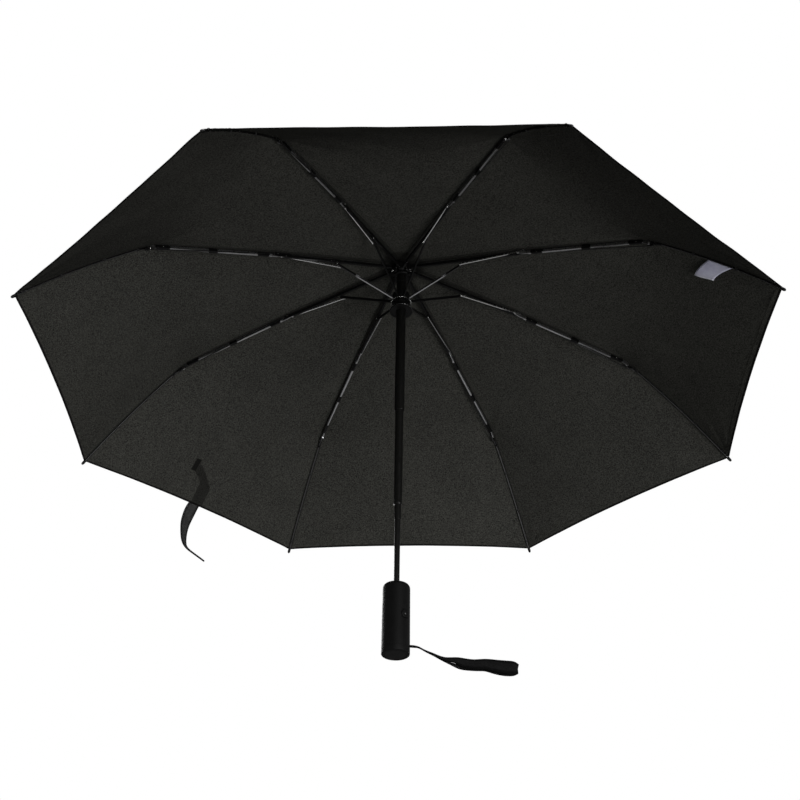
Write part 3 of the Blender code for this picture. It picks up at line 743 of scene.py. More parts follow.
def wrinkle(points, normals, k):
    """Small tension folds out of the corners and along the hem, different in every gore."""
    draw = np.random.default_rng(100 + k).uniform
    full_turn = 6.28
    hem_distance = (ROWS[-1] - ROWS)[:, None] * np.ones((1, COLUMNS + 1))
    width = ROW_WIDTH[:, None]
    from_rib = np.minimum(SHARE, 1 - SHARE)[None, :] * width
    height = np.zeros(hem_distance.shape)
    for share in (SHARE, 1 - SHARE):
        # folds out of the hem corner
        x = share[None, :] * width
        reach = np.hypot(x, hem_distance)
        angle = np.arctan2(x, hem_distance + 1e-6)
        phase, coarse, fine = draw(0, full_turn), draw(7.0, 9.5), draw(13, 17)
        fold = 0.0010 * np.cos(angle * coarse + phase) + 0.0005 * np.cos(angle * fine + 2 * phase)
        fold *= np.exp(-reach / 0.055) * np.clip(reach / 0.02, 0, 1)
        height += fold * np.clip(np.sin(angle), 0, 1) ** 0.5
        # folds out of the second knee
        past_knee = (ROWS - KNEE_2_ALONG)[:, None]
        reach = np.hypot(x, past_knee)
        angle = np.arctan2(past_knee, x + 1e-6)
        fold = 0.0007 * np.cos(angle * draw(5, 7) + draw(0, full_turn)) * np.exp(-reach / 0.035)
        height += fold * np.clip(reach / 0.012, 0, 1) * np.clip(x / 0.012, 0, 1)
    # ripples along the hem
    share = SHARE[None, :]
    ripple = sum(
        draw(0.3, 1.0) * np.sin(2 * math.pi * share * waves + draw(0, full_turn))
        for waves in (1.5, 2.5, 4.0, 6.5)
    )
    height += 0.0002 * ripple * np.exp(-hem_distance / 0.035) * np.clip(from_rib / 0.03, 0, 1)
    # slanting waves over the whole gore, by waves across and waves along
    depth = ROWS[:, None] / ROWS[-1]
    slant = sum(
        draw(0.4, 1.0)
        * np.sin(2 * math.pi * (wide * share + long * depth) + draw(0, full_turn))
        for wide, long in ((1.0, 2.0), (-1.5, 3.0), (2.0, 4.5))
    )
    height += 0.00028 * slant * np.clip(from_rib / 0.04, 0, 1)
    return points + normals * height[..., None]


def grid_normals(points):
    """Upward unit normals of a gore's grid."""
    normals = np.cross(np.gradient(points, axis=1), np.gradient(points, axis=0))
    normals /= np.maximum(np.linalg.norm(normals, axis=2, keepdims=True), 1e-12)
    return normals * np.sign(normals[ROW_COUNT // 2, HALF_COLUMNS, 2])


def whole_cloth():
    """All eight gores and their normals, as grids of rows by columns."""
    shape = gore_shape()
    shape_normals = grid_normals(shape)
    gores = []
    for k in range(RIBS):
        turn = ANGLES[k] - ANGLES[0]
        cos, sin = math.cos(turn), math.sin(turn)
        spin = np.array([[cos, -sin, 0], [sin, cos, 0], [0, 0, 1]])
        gores.append(wrinkle(shape @ spin.T, shape_normals @ spin.T, k))
    normals = [grid_normals(gore) for gore in gores]
    # half share normals over each rib, where the two gores meet at a soft ridge
    for k in range(RIBS):
        left, right = normals[k][:, -1], normals[(k + 1) % RIBS][:, 0]
        mean = left + right
        mean /= np.linalg.norm(mean, axis=1, keepdims=True)
        left[:] = mean * 0.5 + left * 0.5
        right[:] = mean * 0.5 + right * 0.5
    return gores, normals


GORES, NORMALS = whole_cloth()


def nearest(values, target):
    return int(np.argmin(abs(values - target)))


ROW_KNEE_1 = nearest(ROWS, KNEE_1_ALONG)
ROW_KNEE_2 = nearest(ROWS, KNEE_2_ALONG)
ROW_CAP = 3
ROW_CROWN = nearest(RIB_LINE[:, 0], 0.026)
KNEE_ROWS = 2   # rows of a knee strip on each side of the knee
KNEE_SHARES = SHARE[:HALF_COLUMNS] * 2 * math.sin(HALF_GORE)
KNEE_COLUMNS_1 = nearest(KNEE_SHARES * KNEE_1[0], 0.010)
KNEE_COLUMNS_2 = nearest(KNEE_SHARES * KNEE_2[0], 0.011)
STRAP_GORE = 2
CLOTH_ATTRIBUTES = ("across", "along", "d_rib", "d_hem", "strap")

# Turned hem: distance back from the edge and depth under the cloth, in metres.
HEM_ROLL = (
    (0.0, 0.0), (-0.0003, 0.0004), (0.0002, 0.0009), (0.0022, 0.00105),
    (0.0045, 0.0010), (0.0066, 0.0009), (0.0074, 0.0003),
)

# Cloth between knees: name, first row, last row, rib part, bar direction,
# lean of the fold in degrees, share of width kept when folded.
SEGMENTS = (
    ("top", ROW_CROWN, ROW_KNEE_1, "top_rib", TOP_ALONG, 0.0, 0.105),
    ("mid", ROW_KNEE_1, ROW_KNEE_2, "middle_rib", MIDDLE_ALONG, 8.0, 0.085),
    ("out", ROW_KNEE_2, ROW_COUNT - 1, "outer_rib", OUTER_ALONG, 0.0, 0.080),
)


def cloth_at(gore, row, share):
    """Point of a row at a share across the gore, and the cloth's normal there."""
    column = np.interp(share, SHARE, np.arange(COLUMNS + 1))
    left = min(int(column), COLUMNS - 1)
    part = column - left
    grid = GORES[gore]
    return grid[row, left] * (1 - part) + grid[row, left + 1] * part, NORMALS[gore][row, left]


def thread_values(gore, column, width, along):
    """The cloth attributes of one vertex, in the order of CLOTH_ATTRIBUTES."""
    share = SHARE[column]
    return (
        (share - 0.5) * width, along, min(share, 1 - share) * width,
        max(ROWS[-1] - along, 0.0), float(gore == STRAP_GORE),
    )


def hem_point(gore, column, back, below):
    """A point of the turned hem."""
    grid, normals = GORES[gore][:, column], NORMALS[gore][:, column]
    if back <= 0:
        inward = grid[-5] - grid[-1]
        return grid[-1] + inward / np.linalg.norm(inward) * back - normals[-1] * below
    place = np.interp(ROWS[-1] - back, ROWS, np.arange(ROW_COUNT))
    row = int(place)
    part = place - row
    return grid[row] * (1 - part) + grid[row + 1] * part - normals[row] * below


def cloth_piece(name, cells):
    """A piece of the sheet from cells (gore, row, column), with its turned hem if it has one."""
    index, verts, normals, values, faces = {}, [], [], [], []

    def corner(gore, row, column):
        key = (gore, row, column)
        if key not in index:
            index[key] = len(verts)
            verts.append(GORES[gore][row, column])
            normals.append(NORMALS[gore][row, column])
            values.append(thread_values(gore, column, ROW_WIDTH[row], ROWS[row]))
        return index[key]

    hem_columns = {}
    for gore, row, column in cells:
        faces.append((
            corner(gore, row, column), corner(gore, row + 1, column),
            corner(gore, row + 1, column + 1), corner(gore, row, column + 1),
        ))
        if row == ROW_COUNT - 2:
            hem_columns.setdefault(gore, set()).update((column, column + 1))
    for gore, columns in hem_columns.items():
        columns = sorted(columns)
        lines = []
        for back, below in HEM_ROLL:
            lines.append(range(len(verts), len(verts) + len(columns)))
            for column in columns:
                verts.append(hem_point(gore, column, back, below))
                normal = NORMALS[gore][-1, column]
                normals.append(-normal if back > 0 else normal)
                values.append(thread_values(gore, column, ROW_WIDTH[-1], ROWS[-1] - back))
        for near, far in zip(lines, lines[1:]):
            for c in range(len(columns) - 1):
                faces.append((near[c], far[c], far[c + 1], near[c + 1]))
    attributes = dict(zip(CLOTH_ATTRIBUTES, zip(*values)))
    return new_object(name, verts, faces, LOOK["cloth"], attributes, normals)


def gore_beside(k, side):
    """The gore on one side of rib k: side 1 is anticlockwise, -1 clockwise."""
    return k if side > 0 else (k - 1) % RIBS


def column_from_rib(side, c):
    """Grid column that is the c-th away from the rib."""
    return c if side > 0 else COLUMNS - 1 - c


def half_cells(k, side, first, last, columns=HALF_COLUMNS):
    """Cells on one side of rib k between two rows, that many columns wide."""
    near = sorted(column_from_rib(side, c) for c in range(columns))
    return [(gore_beside(k, side), row, column) for row in range(first, last) for column in near]


def in_knee_strip(row, c):
    """True for the narrow strips over the knees, which are their own pieces."""
    if abs(row + 0.5 - ROW_KNEE_1) < KNEE_ROWS and c < KNEE_COLUMNS_1:
        return True
    return abs(row + 0.5 - ROW_KNEE_2) < KNEE_ROWS and c < KNEE_COLUMNS_2


def between_knees(k, side, low, high):
    """Cells of a half gore between two slanted lines from the rib, clear of the knee strips.

    The slant keeps the cloth from standing past a knee when folded.
    """
    cut_slope = 0.33
    found = []
    for row in range(ROW_CROWN, ROW_COUNT - 1):
        for c in range(HALF_COLUMNS):
            if in_knee_strip(row, c):
                continue
            from_rib = 0.5 * (SHARE[c] + SHARE[c + 1]) * ROW_WIDTH[row]
            if low <= 0.5 * (ROWS[row] + ROWS[row + 1]) - cut_slope * from_rib < high:
                found.append((gore_beside(k, side), row, column_from_rib(side, c)))
    return found


def blend_rows(ob):
    """Bake the piece's placement into its mesh."""
    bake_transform(ob)


def rib_cloth(k):
    """The cloth round one rib: crown piece, two sides of each segment, knee strips."""
    rib = f"_{k + 1}"
    cells = [cell for side in (1, -1) for cell in half_cells(k, side, ROW_CAP, ROW_CROWN)]
    ob = cloth_piece(f"cloth_crown{rib}", cells)
    blend_rows(ob)
    made = [ob]
    for name, first, last, part, along, lean, keep in SEGMENTS:
        low = -1.0 if name == "top" else ROWS[first]
        high = 9.0 if name == "out" else ROWS[last]
        for side, tag in ((1, "a"), (-1, "b")):
            ob = cloth_piece(f"cloth_{name}{rib}{tag}", between_knees(k, side, low, high))
            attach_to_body(ob, part + rib)
            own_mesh(ob)
            made.append(ob)
    for tag, row, columns, before, after in (
        ("knee1", ROW_KNEE_1, KNEE_COLUMNS_1, "top_rib", "middle_rib"),
        ("knee2", ROW_KNEE_2, KNEE_COLUMNS_2, "middle_rib", "outer_rib"),
    ):
        first, last = row - KNEE_ROWS, row + KNEE_ROWS
        cells = [c for side in (1, -1) for c in half_cells(k, side, first, last, columns)]
        ob = cloth_piece(f"cloth_{tag}{rib}", cells)
        blend_rows(ob)
        made.append(ob)
    return made


def build_cloth():
    cells = [
        (gore, row, column)
        for gore in range(RIBS) for row in range(ROW_CAP) for column in range(COLUMNS)
    ]
    cap = cloth_piece("cloth_top", cells)
    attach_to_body(cap, "upper_shaft")
    made = [cap]
    for k in range(RIBS):
        made += rib_cloth(k)
    for ob in made:
        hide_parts("canopy")


build_cloth()


def seam(k, name, first, last, part):
    """Raised band under the cloth along one segment of a rib, with an uneven edge."""
    uneven = np.random.default_rng(500 + k).uniform(-0.0002, 0.0002, ROW_COUNT)
    verts, across, along = [], [], []
    for row in range(first, last + 1):
        half = 0.0034 + uneven[row]
        # across the rib, and depth below the cloth
        section = (
            (-half, 0.00012), (-half * 0.9, 0.0006), (-0.0006, 0.0007),
            (0.0006, 0.0007), (half * 0.9, 0.0006), (half, 0.00012),
        )
        for x, below in section:
            share = abs(x) / ROW_WIDTH[row]
            point, normal = cloth_at(gore_beside(k, x), row, share if x > 0 else 1 - share)
            verts.append(point - normal * below)
            across.append(x)
            along.append(ROWS[row])
    count = len(verts)
    # a d_rib of zero gives the band the cloth's full painted shade beside a rib
    attributes = {"across": across, "along": along, "d_rib": [0.0] * count, "d_hem": [1.0] * count}
    faces = sheet_faces(last - first + 1, len(section))
    ob = new_object(f"seam_{name}_{k + 1}", verts, faces, LOOK["cloth"], attributes)
    attach(ob, f"{part}_{k + 1}")


for k in range(RIBS):
    for name, first, last, part, *_ in SEGMENTS:
        seam(k, name, first, last, part)


# ------------------------------------------------------------------ rib fittings
# Half of a domed rivet: share of its radius, depth from its end in mm.
RIVET_HEAD = ((0, 0.0), (0.55, 0.1), (0.95, 0.4), (1.0, 0.7), (0.62, 0.8))


def rivet(k, point, start, end, radius, name="piece"):
    """Domed rivet across rib k's plane, from one sideways offset to the other, in mm."""
    centre, out, side = in_rib(k, point), outward(ANGLES[k]), sideways(ANGLES[k])
    out, side, up = Vector(out), Vector(side), Vector(UP)
    profile = [(share * radius * MM, (start + depth) * MM) for share, depth in RIVET_HEAD]
    profile += [(share * radius * MM, (end - depth) * MM) for share, depth in RIVET_HEAD[::-1]]
    verts, rings = turned(
        profile, sides=14, place=lambda x, y, z: centre + side * z + out * x + up * y
    )
    return sharpen(new_object(name, verts, stitch(rings, flip=True), LOOK["rivet"]), 40)


def plate(k, outline, start, end, look, bevel):
    """Bevelled plate parallel to rib k's plane between two sideways offsets, in mm."""
    low, high = ([in_rib(k, p, side * MM) for p in outline] for side in (start, end))
    return prism(low, high, LOOK[look], bevel * MM)


def capsule(start, end, start_radius, end_radius):
    """Outline round two circles in the rib plane, radii in mm."""
    span = end - start
    base = math.atan2(span[1], span[0])
    taper = (start_radius - end_radius) * MM / np.linalg.norm(span)
    tilt = math.acos(max(-1, min(1, taper)))

    def arc(centre, radius, first, last):
        turns = base + np.linspace(first, last, 10)
        return [centre + radius * MM * np.array([math.cos(t), math.sin(t)]) for t in turns]

    return arc(start, start_radius, tilt, 2 * math.pi - tilt) + arc(end, end_radius, -tilt, tilt)


def top_rib_fittings(k):
    """Rivets, cheek plates and the four rolled edges of the channel."""
    parts = [
        rivet(k, STRETCHER_HINGE, -1.8, 2.7, 1.2),
        rivet(k, on_top(92.5, 3.9), -1.7, 1.7, 0.8),
        rivet(k, KNEE_1, -2.0, 1.9, 1.2),
        rivet(k, on_top(158, 4.0), -1.8, 1.8, 0.8),
    ]
    hinge_cheek = capsule(on_top(78, 3.7), on_top(95, 3.7), 2.4, 2.4)
    knee_cheek = capsule(on_top(150, 3.9), on_top(163, 4.6), 2.3, 2.6)
    short_cheek = capsule(on_top(150, 3.9), on_top(160, 4.1), 2.3, 2.2)
    for outline, start, end in (
        (hinge_cheek, -1.55, -1.2), (hinge_cheek, 1.2, 1.55),
        (knee_cheek, 1.2, 1.6), (short_cheek, -1.6, -1.2),
    ):
        parts.append(plate(k, outline, start, end, "paint", bevel=0.1))
    for y in (1.95, 5.6):
        for side in (-1.25, 1.25):
            edge = [in_rib(k, on_top(x, y), side * MM) for x in (7, 60, 110, 149)]
            parts.append(tube(edge, 0.00042, LOOK["paint"], sides=8))
    ob = merge(f"top_rib_fittings_{k + 1}", parts)
    attach(ob, f"top_rib_{k + 1}")


def middle_rib_fittings(k):
    """Square collar, a sleeve at each end, and rivets."""
    collar = [on_middle(x, y) for x, y in ((84, -5.9), (96, -5.9), (96, 0.3), (84, 0.3))]
    inner = capsule(on_middle(14, -2.8), on_middle(27, -2.8), 2.6, 2.5)
    outer = capsule(on_middle(150, -2.8), on_middle(165, -2.9), 2.5, 2.6)
    parts = [
        plate(k, collar, -1.9, 1.35, "nylon", bevel=0.5),
        plate(k, inner, -1.65, 1.45, "paint", bevel=0.3),
        plate(k, outer, -1.65, 1.45, "paint", bevel=0.3),
        rivet(k, on_middle(20, -2.8), -2.0, 1.7, 0.9),
        rivet(k, on_middle(158, -2.8), -2.0, 1.7, 0.9),
        rivet(k, KNEE_2, -1.8, 1.8, 1.2),
    ]
    ob = merge(f"middle_rib_fittings_{k + 1}", parts)
    attach(ob, f"middle_rib_{k + 1}")


def rod_rivets(k):
    ob = rivet(k, LINK_HINGE, -3.1, -1.0, 1.1, name=f"link_rod_rivet_{k + 1}")
    attach(ob, f"link_rod_{k + 1}")
    ob = rivet(k, SPRING_HINGE, 1.2, 2.9, 1.0, name=f"spring_rod_rivet_{k + 1}")
    attach(ob, f"spring_rod_{k + 1}")


# Sleeves on the outer rod: distance along it in mm, radius in metres.
ROD_FERRULE = ((10.2, 0.0014), (11, 0.0018), (17, 0.0018), (18, 0.0016), (18.4, 0.0013))
ROD_TIP = ((194.0, 0.0019), (194.6, 0.00215), (199.0, 0.00205), (200.6, 0.0017), (201.6, 0.0009))


def thread_loop(k, x, axis):
    """One slanted turn of thread round the outer rod."""
    loop = []
    for turn in np.linspace(0, 2 * math.pi, 13):
        point = on_outer(x + 0.2 * math.sin(turn), axis + 0.55 + 2.15 * math.sin(turn))
        loop.append(in_rib(k, point, 1.75 * MM * math.cos(turn)))
    return tube(loop, 0.00026, LOOK["thread"], sides=6)


def outer_rib_fittings(k):
    """Thread ties of three turns each, inner ferrule and tip."""
    parts = []
    for x in (64, 66, 128, 129.5, 181.5):
        parts += [thread_loop(k, x + turn * 0.55, rod_axis(x)) for turn in range(3)]
    for sleeve in (ROD_FERRULE, ROD_TIP):
        points = [in_rib(k, on_outer(x, rod_axis(x))) for x, _ in sleeve]
        parts.append(tube(points, [radius for _, radius in sleeve], LOOK["nylon"], sides=16))
    ob = merge(f"outer_rib_ties_{k + 1}", parts)
    attach(ob, f"outer_rib_{k + 1}")


for k in range(RIBS):
    top_rib_fittings(k)
    middle_rib_fittings(k)
    rod_rivets(k)
    outer_rib_fittings(k)


# ------------------------------------------------------------------ carried frame pieces
RIB_LOOKS = {
    "top_rib": "paint", "stretcher": "stretcher_dark", "link_rod": "bright",
    "middle_rib": "alloy", "spring_rod": "wire", "outer_rib": "rod",
}
# Painted light: stretchers 5 and 8 take a painted reflection, link rods 2 and 3 a darker copy of their
# metal as painted shade.
PAINTED_LIGHT_LOOKS = {
    "stretcher_5": "stretcher", "stretcher_8": "stretcher",
    "link_rod_2": "bright_painted_shade_and_highlight", "link_rod_3": "bright_painted_shade_and_highlight",
}
SHAFT_LOOKS = {
    "lower_tube": "shaft", "middle_tube": "shaft", "upper_tube": "shaft",
    "crown": "nylon", "ferrule_cap": "nylon",
}


def dress(node, look, degrees):
    ob = frame["nodes"][node]
    ob.data.materials.clear()
    ob.data.materials.append(LOOK[look])
    sharpen(ob, degrees)


for base, look in RIB_LOOKS.items():
    for k in range(RIBS):
        node = f"{base}_{k + 1}"
        dress(node, PAINTED_LIGHT_LOOKS.get(node, look), 30)
for node, look in SHAFT_LOOKS.items():
    dress(node, look, 25)


# ------------------------------------------------------------------ main spring
def main_spring():
    """Coil inside the shaft, carried by the upper shaft."""
    radius, wire, bottom, top = 0.0035, 0.00045, 0.2175, 0.5645
    turns, per_turn = 24, 24
    steps = turns * per_turn
    points = []
    for i in range(steps + 1):
        turn = 2 * math.pi * i / per_turn
        height = bottom + (top - bottom) * i / steps
        points.append((radius * math.cos(turn), radius * math.sin(turn), height))
    ob = tube(points, wire, LOOK["steel"], sides=8, name="coil_spring")
    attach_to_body(ob, "upper_shaft")
    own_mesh(ob)
    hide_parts("main_spring")


main_spring()


# ------------------------------------------------------------------ runner and crown
# Closed profiles, (radius, height) in mm.
SHAFT_HOLE = 6.75
RUNNER_SLEEVE = [
    (SHAFT_HOLE, 506), (8.4, 506), (8.4, 519), (8.9, 520), (8.9, 534.4), (8.2, 536.2),
    (7.4, 536.6), (SHAFT_HOLE, 536.6),
]
RUNNER_FLANGE = [
    (SHAFT_HOLE, 505.6), (14.6, 505.6), (15.7, 506.1), (15.9, 506.9), (15.6, 507.8),
    (14.2, 508.3), (9.2, 508.9), (SHAFT_HOLE, 508.9),
]
RUNNER_COLLAR = [
    (SHAFT_HOLE, 509), (9.6, 509), (10.4, 511.5), (10.0, 517.5), (9.0, 519.5),
    (SHAFT_HOLE, 519.5),
]
CROWN_RING = [
    (6.6, 568.2), (9.2, 568.2), (10.0, 568.9), (10.0, 570.4), (9.4, 570.9), (6.6, 570.9),
]
CROWN_FOOT = [(6.6, 556.0), (7.3, 556.3), (7.3, 557.8), (6.6, 558.1)]


def runner_block(k):
    """Block between two rib slots of the runner, its three studs, and the pins of slot k."""
    angle = ANGLES[k] + HALF_GORE
    out, side = outward(angle), sideways(angle)
    slot_half = 1.75
    inner = 8.6 * math.tan(HALF_GORE) - slot_half
    outer = 13.1 * math.tan(HALF_GORE) - slot_half
    # radius and sideways offset, in mm
    outline = (
        (8.0, -inner), (12.7, -outer), (13.3, -outer * 0.55), (13.5, 0),
        (13.3, outer * 0.55), (12.7, outer), (8.0, inner),
    )
    low, high = (
        [(out * radius + side * offset + UP * height) * MM for radius, offset in outline]
        for height in (520.2, 533.6)
    )
    parts = [prism(low, high, LOOK["nylon"], bevel=0.00045)]
    for offset in (-2.7, 0.0, 2.7):
        centre = (out * 13.3 + side * offset + UP * 521.9) * MM
        points = [centre + out * x for x in (-0.0012, 0.0005, 0.0008)]
        parts.append(tube(points, [0.0008, 0.0008, 0.0004], LOOK["rivet"], sides=10))
    for offset in (-1.55, 1.55):
        points = [in_rib(k, (0.0110, 0.527), offset * MM + x) for x in (-0.0006, 0.0006)]
        parts.append(tube(points, 0.0009, LOOK["rivet"]))
    return parts


def runner():
    """Sleeve, flange, collar, ring of slotted blocks, bright wire, and a metal ring round the flange's
    edge as a painted highlight.
    """
    parts = [
        lathe(RUNNER_SLEEVE, LOOK["nylon"], sides=64, closed=True),
        lathe(RUNNER_FLANGE, LOOK["nylon"], closed=True),
        lathe(RUNNER_COLLAR, LOOK["nylon"], sides=64, closed=True),
    ]
    for k in range(RIBS):
        parts += runner_block(k)
    wire = circle(0.0127, height=0.5225, steps=64)
    parts.append(tube(wire, 0.00055, LOOK["rivet"], sides=8))
    # painted highlight: a thin metal ring along the flange's edge
    rim = circle(0.01560, height=0.50775, steps=96)
    parts.append(tube(rim, 0.0004, LOOK["bright_painted_shade_and_highlight"], sides=8))
    attach(merge("runner_shell", parts), "runner", replaces="runner")


def crown():
    """Two pins at every rib and two rings on the shaft."""
    parts = []
    for k in range(RIBS):
        out = Vector(outward(ANGLES[k]))
        for offset in (-1.9, 1.9):
            centre = in_rib(k, (0.0131, 0.5752), offset * MM)
            points = [centre - out * 0.0006, centre + out * 0.0012]
            parts.append(tube(points, [0.0011, 0.0009], LOOK["rivet"], sides=10))
    parts.append(lathe(CROWN_RING, LOOK["nylon"], sides=64, closed=True))
    parts.append(lathe(CROWN_FOOT, LOOK["nylon"], sides=48, closed=True))
    attach(merge("crown_details", parts), "upper_shaft")


runner()
crown()


# ------------------------------------------------------------------ handle and button
BUTTON_ANGLE, BUTTON_HEIGHT = math.radians(-48.0), 47.0
STRAP_EYE_HEIGHT = 11.2   # on the +X side

# Profiles, (radius, height) in mm.
GRIP_FOOT = [
    (0, 0.75), (13.2, 0.75), (13.5, 0.2), (14.0, 0.0), (15.2, 0), (16.1, 0.3), (16.7, 0.9),
    (16.9, 1.8), (16.9, 7.2), (16.75, 7.35), (16.65, 7.6), (16.75, 7.85), (16.88, 8.0),
]
GRIP_TOP_RADIUS, GRIP_TOP = 16.5, 84.6
SHOULDER_INSET, SHOULDER_RISE = 3.4, 5.1   # quarter ellipse above the grip
GRIP_BORE = [
    (11.0, 89.7), (8.4, 89.5), (7.6, 88.9), (7.2, 88.0), (7.2, 36), (3.8, 36), (3.8, 9), (0, 9),
]
END_DISC = [(0, 0.25), (6.0, 0.25), (12.6, 0.2), (12.95, 0.4), (12.95, 0.9), (0, 0.9)]
MOUTH_RING = [
    (7.22, 82), (7.9, 82), (7.9, 89.0), (8.6, 89.5), (9.6, 89.75), (9.6, 90.0), (8.4, 90.05),
    (7.5, 89.6), (7.22, 88.8),
]
# Profiles turned outward from the shaft: (radius, distance from the shaft axis).
BUTTON_POCKET = [(0, 6), (5.35, 6), (5.35, 22), (0, 22)]
BUTTON_LAND = [(0, 16.05), (6.4, 16.05), (7.4, 17.2), (7.4, 22), (0, 22)]
STRAP_EYE = [(0, 15.2), (1.7, 15.2), (2.1, 16.4), (2.8, 17.6), (2.8, 22), (0, 22)]
BUTTON = [
    (0, 8.0), (2.2, 8.0), (2.2, 11.0), (4.7, 11.0), (5.0, 11.3), (5.0, 16.6), (4.85, 17.05),
    (4.4, 17.3), (3.4, 17.25), (2.4, 17.1), (1.2, 17.0), (0, 16.98),
]


def radial(ob, angle, height):
    """Lay a turned body outward from the shaft at that angle and height in mm."""
    ob.data.transform(Matrix.Rotation(math.radians(90), 4, "Y"))
    ob.data.transform(Matrix.Translation((0, 0, height * MM)))
    ob.data.transform(Matrix.Rotation(angle, 4, "Z"))
    return ob


def handle_body():
    """Tapered grip with a shaft bore, a dished button pocket and a strap eye."""
    profile = list(GRIP_FOOT)
    foot_radius, foot = GRIP_FOOT[-1]
    for z in np.linspace(foot, GRIP_TOP, 13)[1:]:
        taper = (foot_radius - GRIP_TOP_RADIUS) * (z - foot) / (GRIP_TOP - foot)
        profile.append((foot_radius - taper, z))
    for turn in np.linspace(0, math.pi / 2, 10)[1:]:
        inset = SHOULDER_INSET * (1 - math.cos(turn))
        profile.append((GRIP_TOP_RADIUS - inset, GRIP_TOP + SHOULDER_RISE * math.sin(turn)))
    profile += GRIP_BORE
    soft = LOOK["soft"]
    cutters = [
        radial(lathe(BUTTON_POCKET, soft, sides=48), BUTTON_ANGLE, BUTTON_HEIGHT),
        radial(lathe(BUTTON_LAND, soft, sides=48), BUTTON_ANGLE, BUTTON_HEIGHT),
        radial(lathe(STRAP_EYE, soft, sides=32), 0.0, STRAP_EYE_HEIGHT),
    ]
    ob = lathe(profile, soft, sides=128, name="handle_body")
    for cutter in cutters:
        cut = ob.modifiers.new("cut", "BOOLEAN")
        cut.operation, cut.solver, cut.object = "DIFFERENCE", "EXACT", cutter
    graph = bpy.context.evaluated_depsgraph_get()
    mesh = bpy.data.meshes.new_from_object(ob.evaluated_get(graph))
    ob.modifiers.clear()
    ob.data = mesh
    for cutter in cutters:
        bpy.data.objects.remove(cutter, do_unlink=True)
    attach(sharpen(ob, 30), "handle", replaces="handle_shell")


def handle_trim():
    """Disc in the bottom end and ring in the shaft's mouth."""
    disc = lathe(END_DISC, LOOK["cap"], name="handle_end_disc")
    attach(disc, "handle")
    mouth = lathe(MOUTH_RING, LOOK["nylon"], closed=True, name="handle_mouth_ring")
    attach(mouth, "handle")


def push_button():
    """Round button with a small pale triangle pointing up."""
    cap = lathe(BUTTON, LOOK["button"], sides=64, name="push_button_cap")
    radial(cap, BUTTON_ANGLE, BUTTON_HEIGHT)
    out, side = outward(BUTTON_ANGLE), sideways(BUTTON_ANGLE)
    mark_radius = 1.15
    verts = []
    for distance in (16.9, 17.22):
        for turn in (math.radians(90 + 120 * corner) for corner in range(3)):
            height = BUTTON_HEIGHT + mark_radius * math.sin(turn)
            offset = mark_radius * math.cos(turn)
            verts.append((out * distance + side * offset + UP * height) * MM)
    faces = [(0, 1, 2), (5, 4, 3), (0, 3, 4, 1), (1, 4, 5, 2), (2, 5, 3, 0)]
    mark = new_object("piece", verts, faces, LOOK["mark"])
    ob = merge("push_button_cap", [cap, mark])
    attach(ob, "button", replaces="push_button")


handle_body()
handle_trim()
push_button()


# ------------------------------------------------------------------ straps
def band(name, points, widths, thicks, look, twist=None, wides=None):
    """Flat band through points in mm.

    Its width runs along the wides vectors, or is turned by twist degrees from upright
    towards +Y.
    """
    samples_per_point = 6
    points = np.array(points, float) * MM
    lengths = np.r_[0, np.cumsum(np.linalg.norm(np.diff(points, axis=0), axis=1))]
    count = len(points) * samples_per_point
    along = np.linspace(0, lengths[-1], count)

    def smooth(values):
        values = np.interp(along, lengths, values)
        for _ in range(samples_per_point * 2):
            values[1:-1] = 0.25 * values[:-2] + 0.5 * values[1:-1] + 0.25 * values[2:]
        return values

    path = np.column_stack([smooth(points[:, axis]) for axis in range(3)])
    widths, thicks = smooth(widths * MM), smooth(thicks * MM)
    if wides is None:
        turns = np.radians(smooth(twist))
        wides = np.column_stack([np.zeros(count), np.sin(turns), np.cos(turns)])
    else:
        wides = np.column_stack([smooth(wides[:, axis]) for axis in range(3)])
    # section: share of the half width, and which face
    steps = 8
    section = [(-1 + 2 * i / steps, 1) for i in range(steps + 1)]
    section += [(1 - 2 * i / steps, -1) for i in range(steps + 1)]
    verts, attributes = [], {"across": [], "along": [], "edge": []}
    for i in range(count):
        ahead = Vector(path[min(i + 1, count - 1)] - path[max(i - 1, 0)]).normalized()
        wide = Vector(wides[i])
        wide = (wide - ahead * wide.dot(ahead)).normalized()
        normal = ahead.cross(wide)
        for x, face in section:
            thinning = 1 - 0.55 * max(0, (abs(x) - 0.85) / 0.15)
            half_thick = thicks[i] / 2 * thinning
            verts.append(
                Vector(path[i]) + wide * (x * widths[i] / 2) + normal * (face * half_thick)
            )
            attributes["across"].append(x * widths[i] / 2)
            attributes["along"].append(along[i])
            attributes["edge"].append(1.0 if abs(x) > 0.7 else 0.0)
    size = len(section)
    rings = [range(i * size, (i + 1) * size) for i in range(count)]
    faces = stitch(rings, flip=True) + [rings[0], rings[-1][::-1]]
    return sharpen(new_object(name, verts, faces, look, attributes), 60)


# Wrist strap, in mm from its start just outside the handle's strap eye.
WRIST_START = np.array([18.6, 0.0, STRAP_EYE_HEIGHT])
WRIST_THICK = np.array([
    2.0, 2.6, 2.4, 1.6, 1.5, 1.4, 1.4, 1.3, 1.2, 1.2, 1.2, 1.2, 1.2, 1.2, 1.2, 1.2, 1.3, 1.4,
])
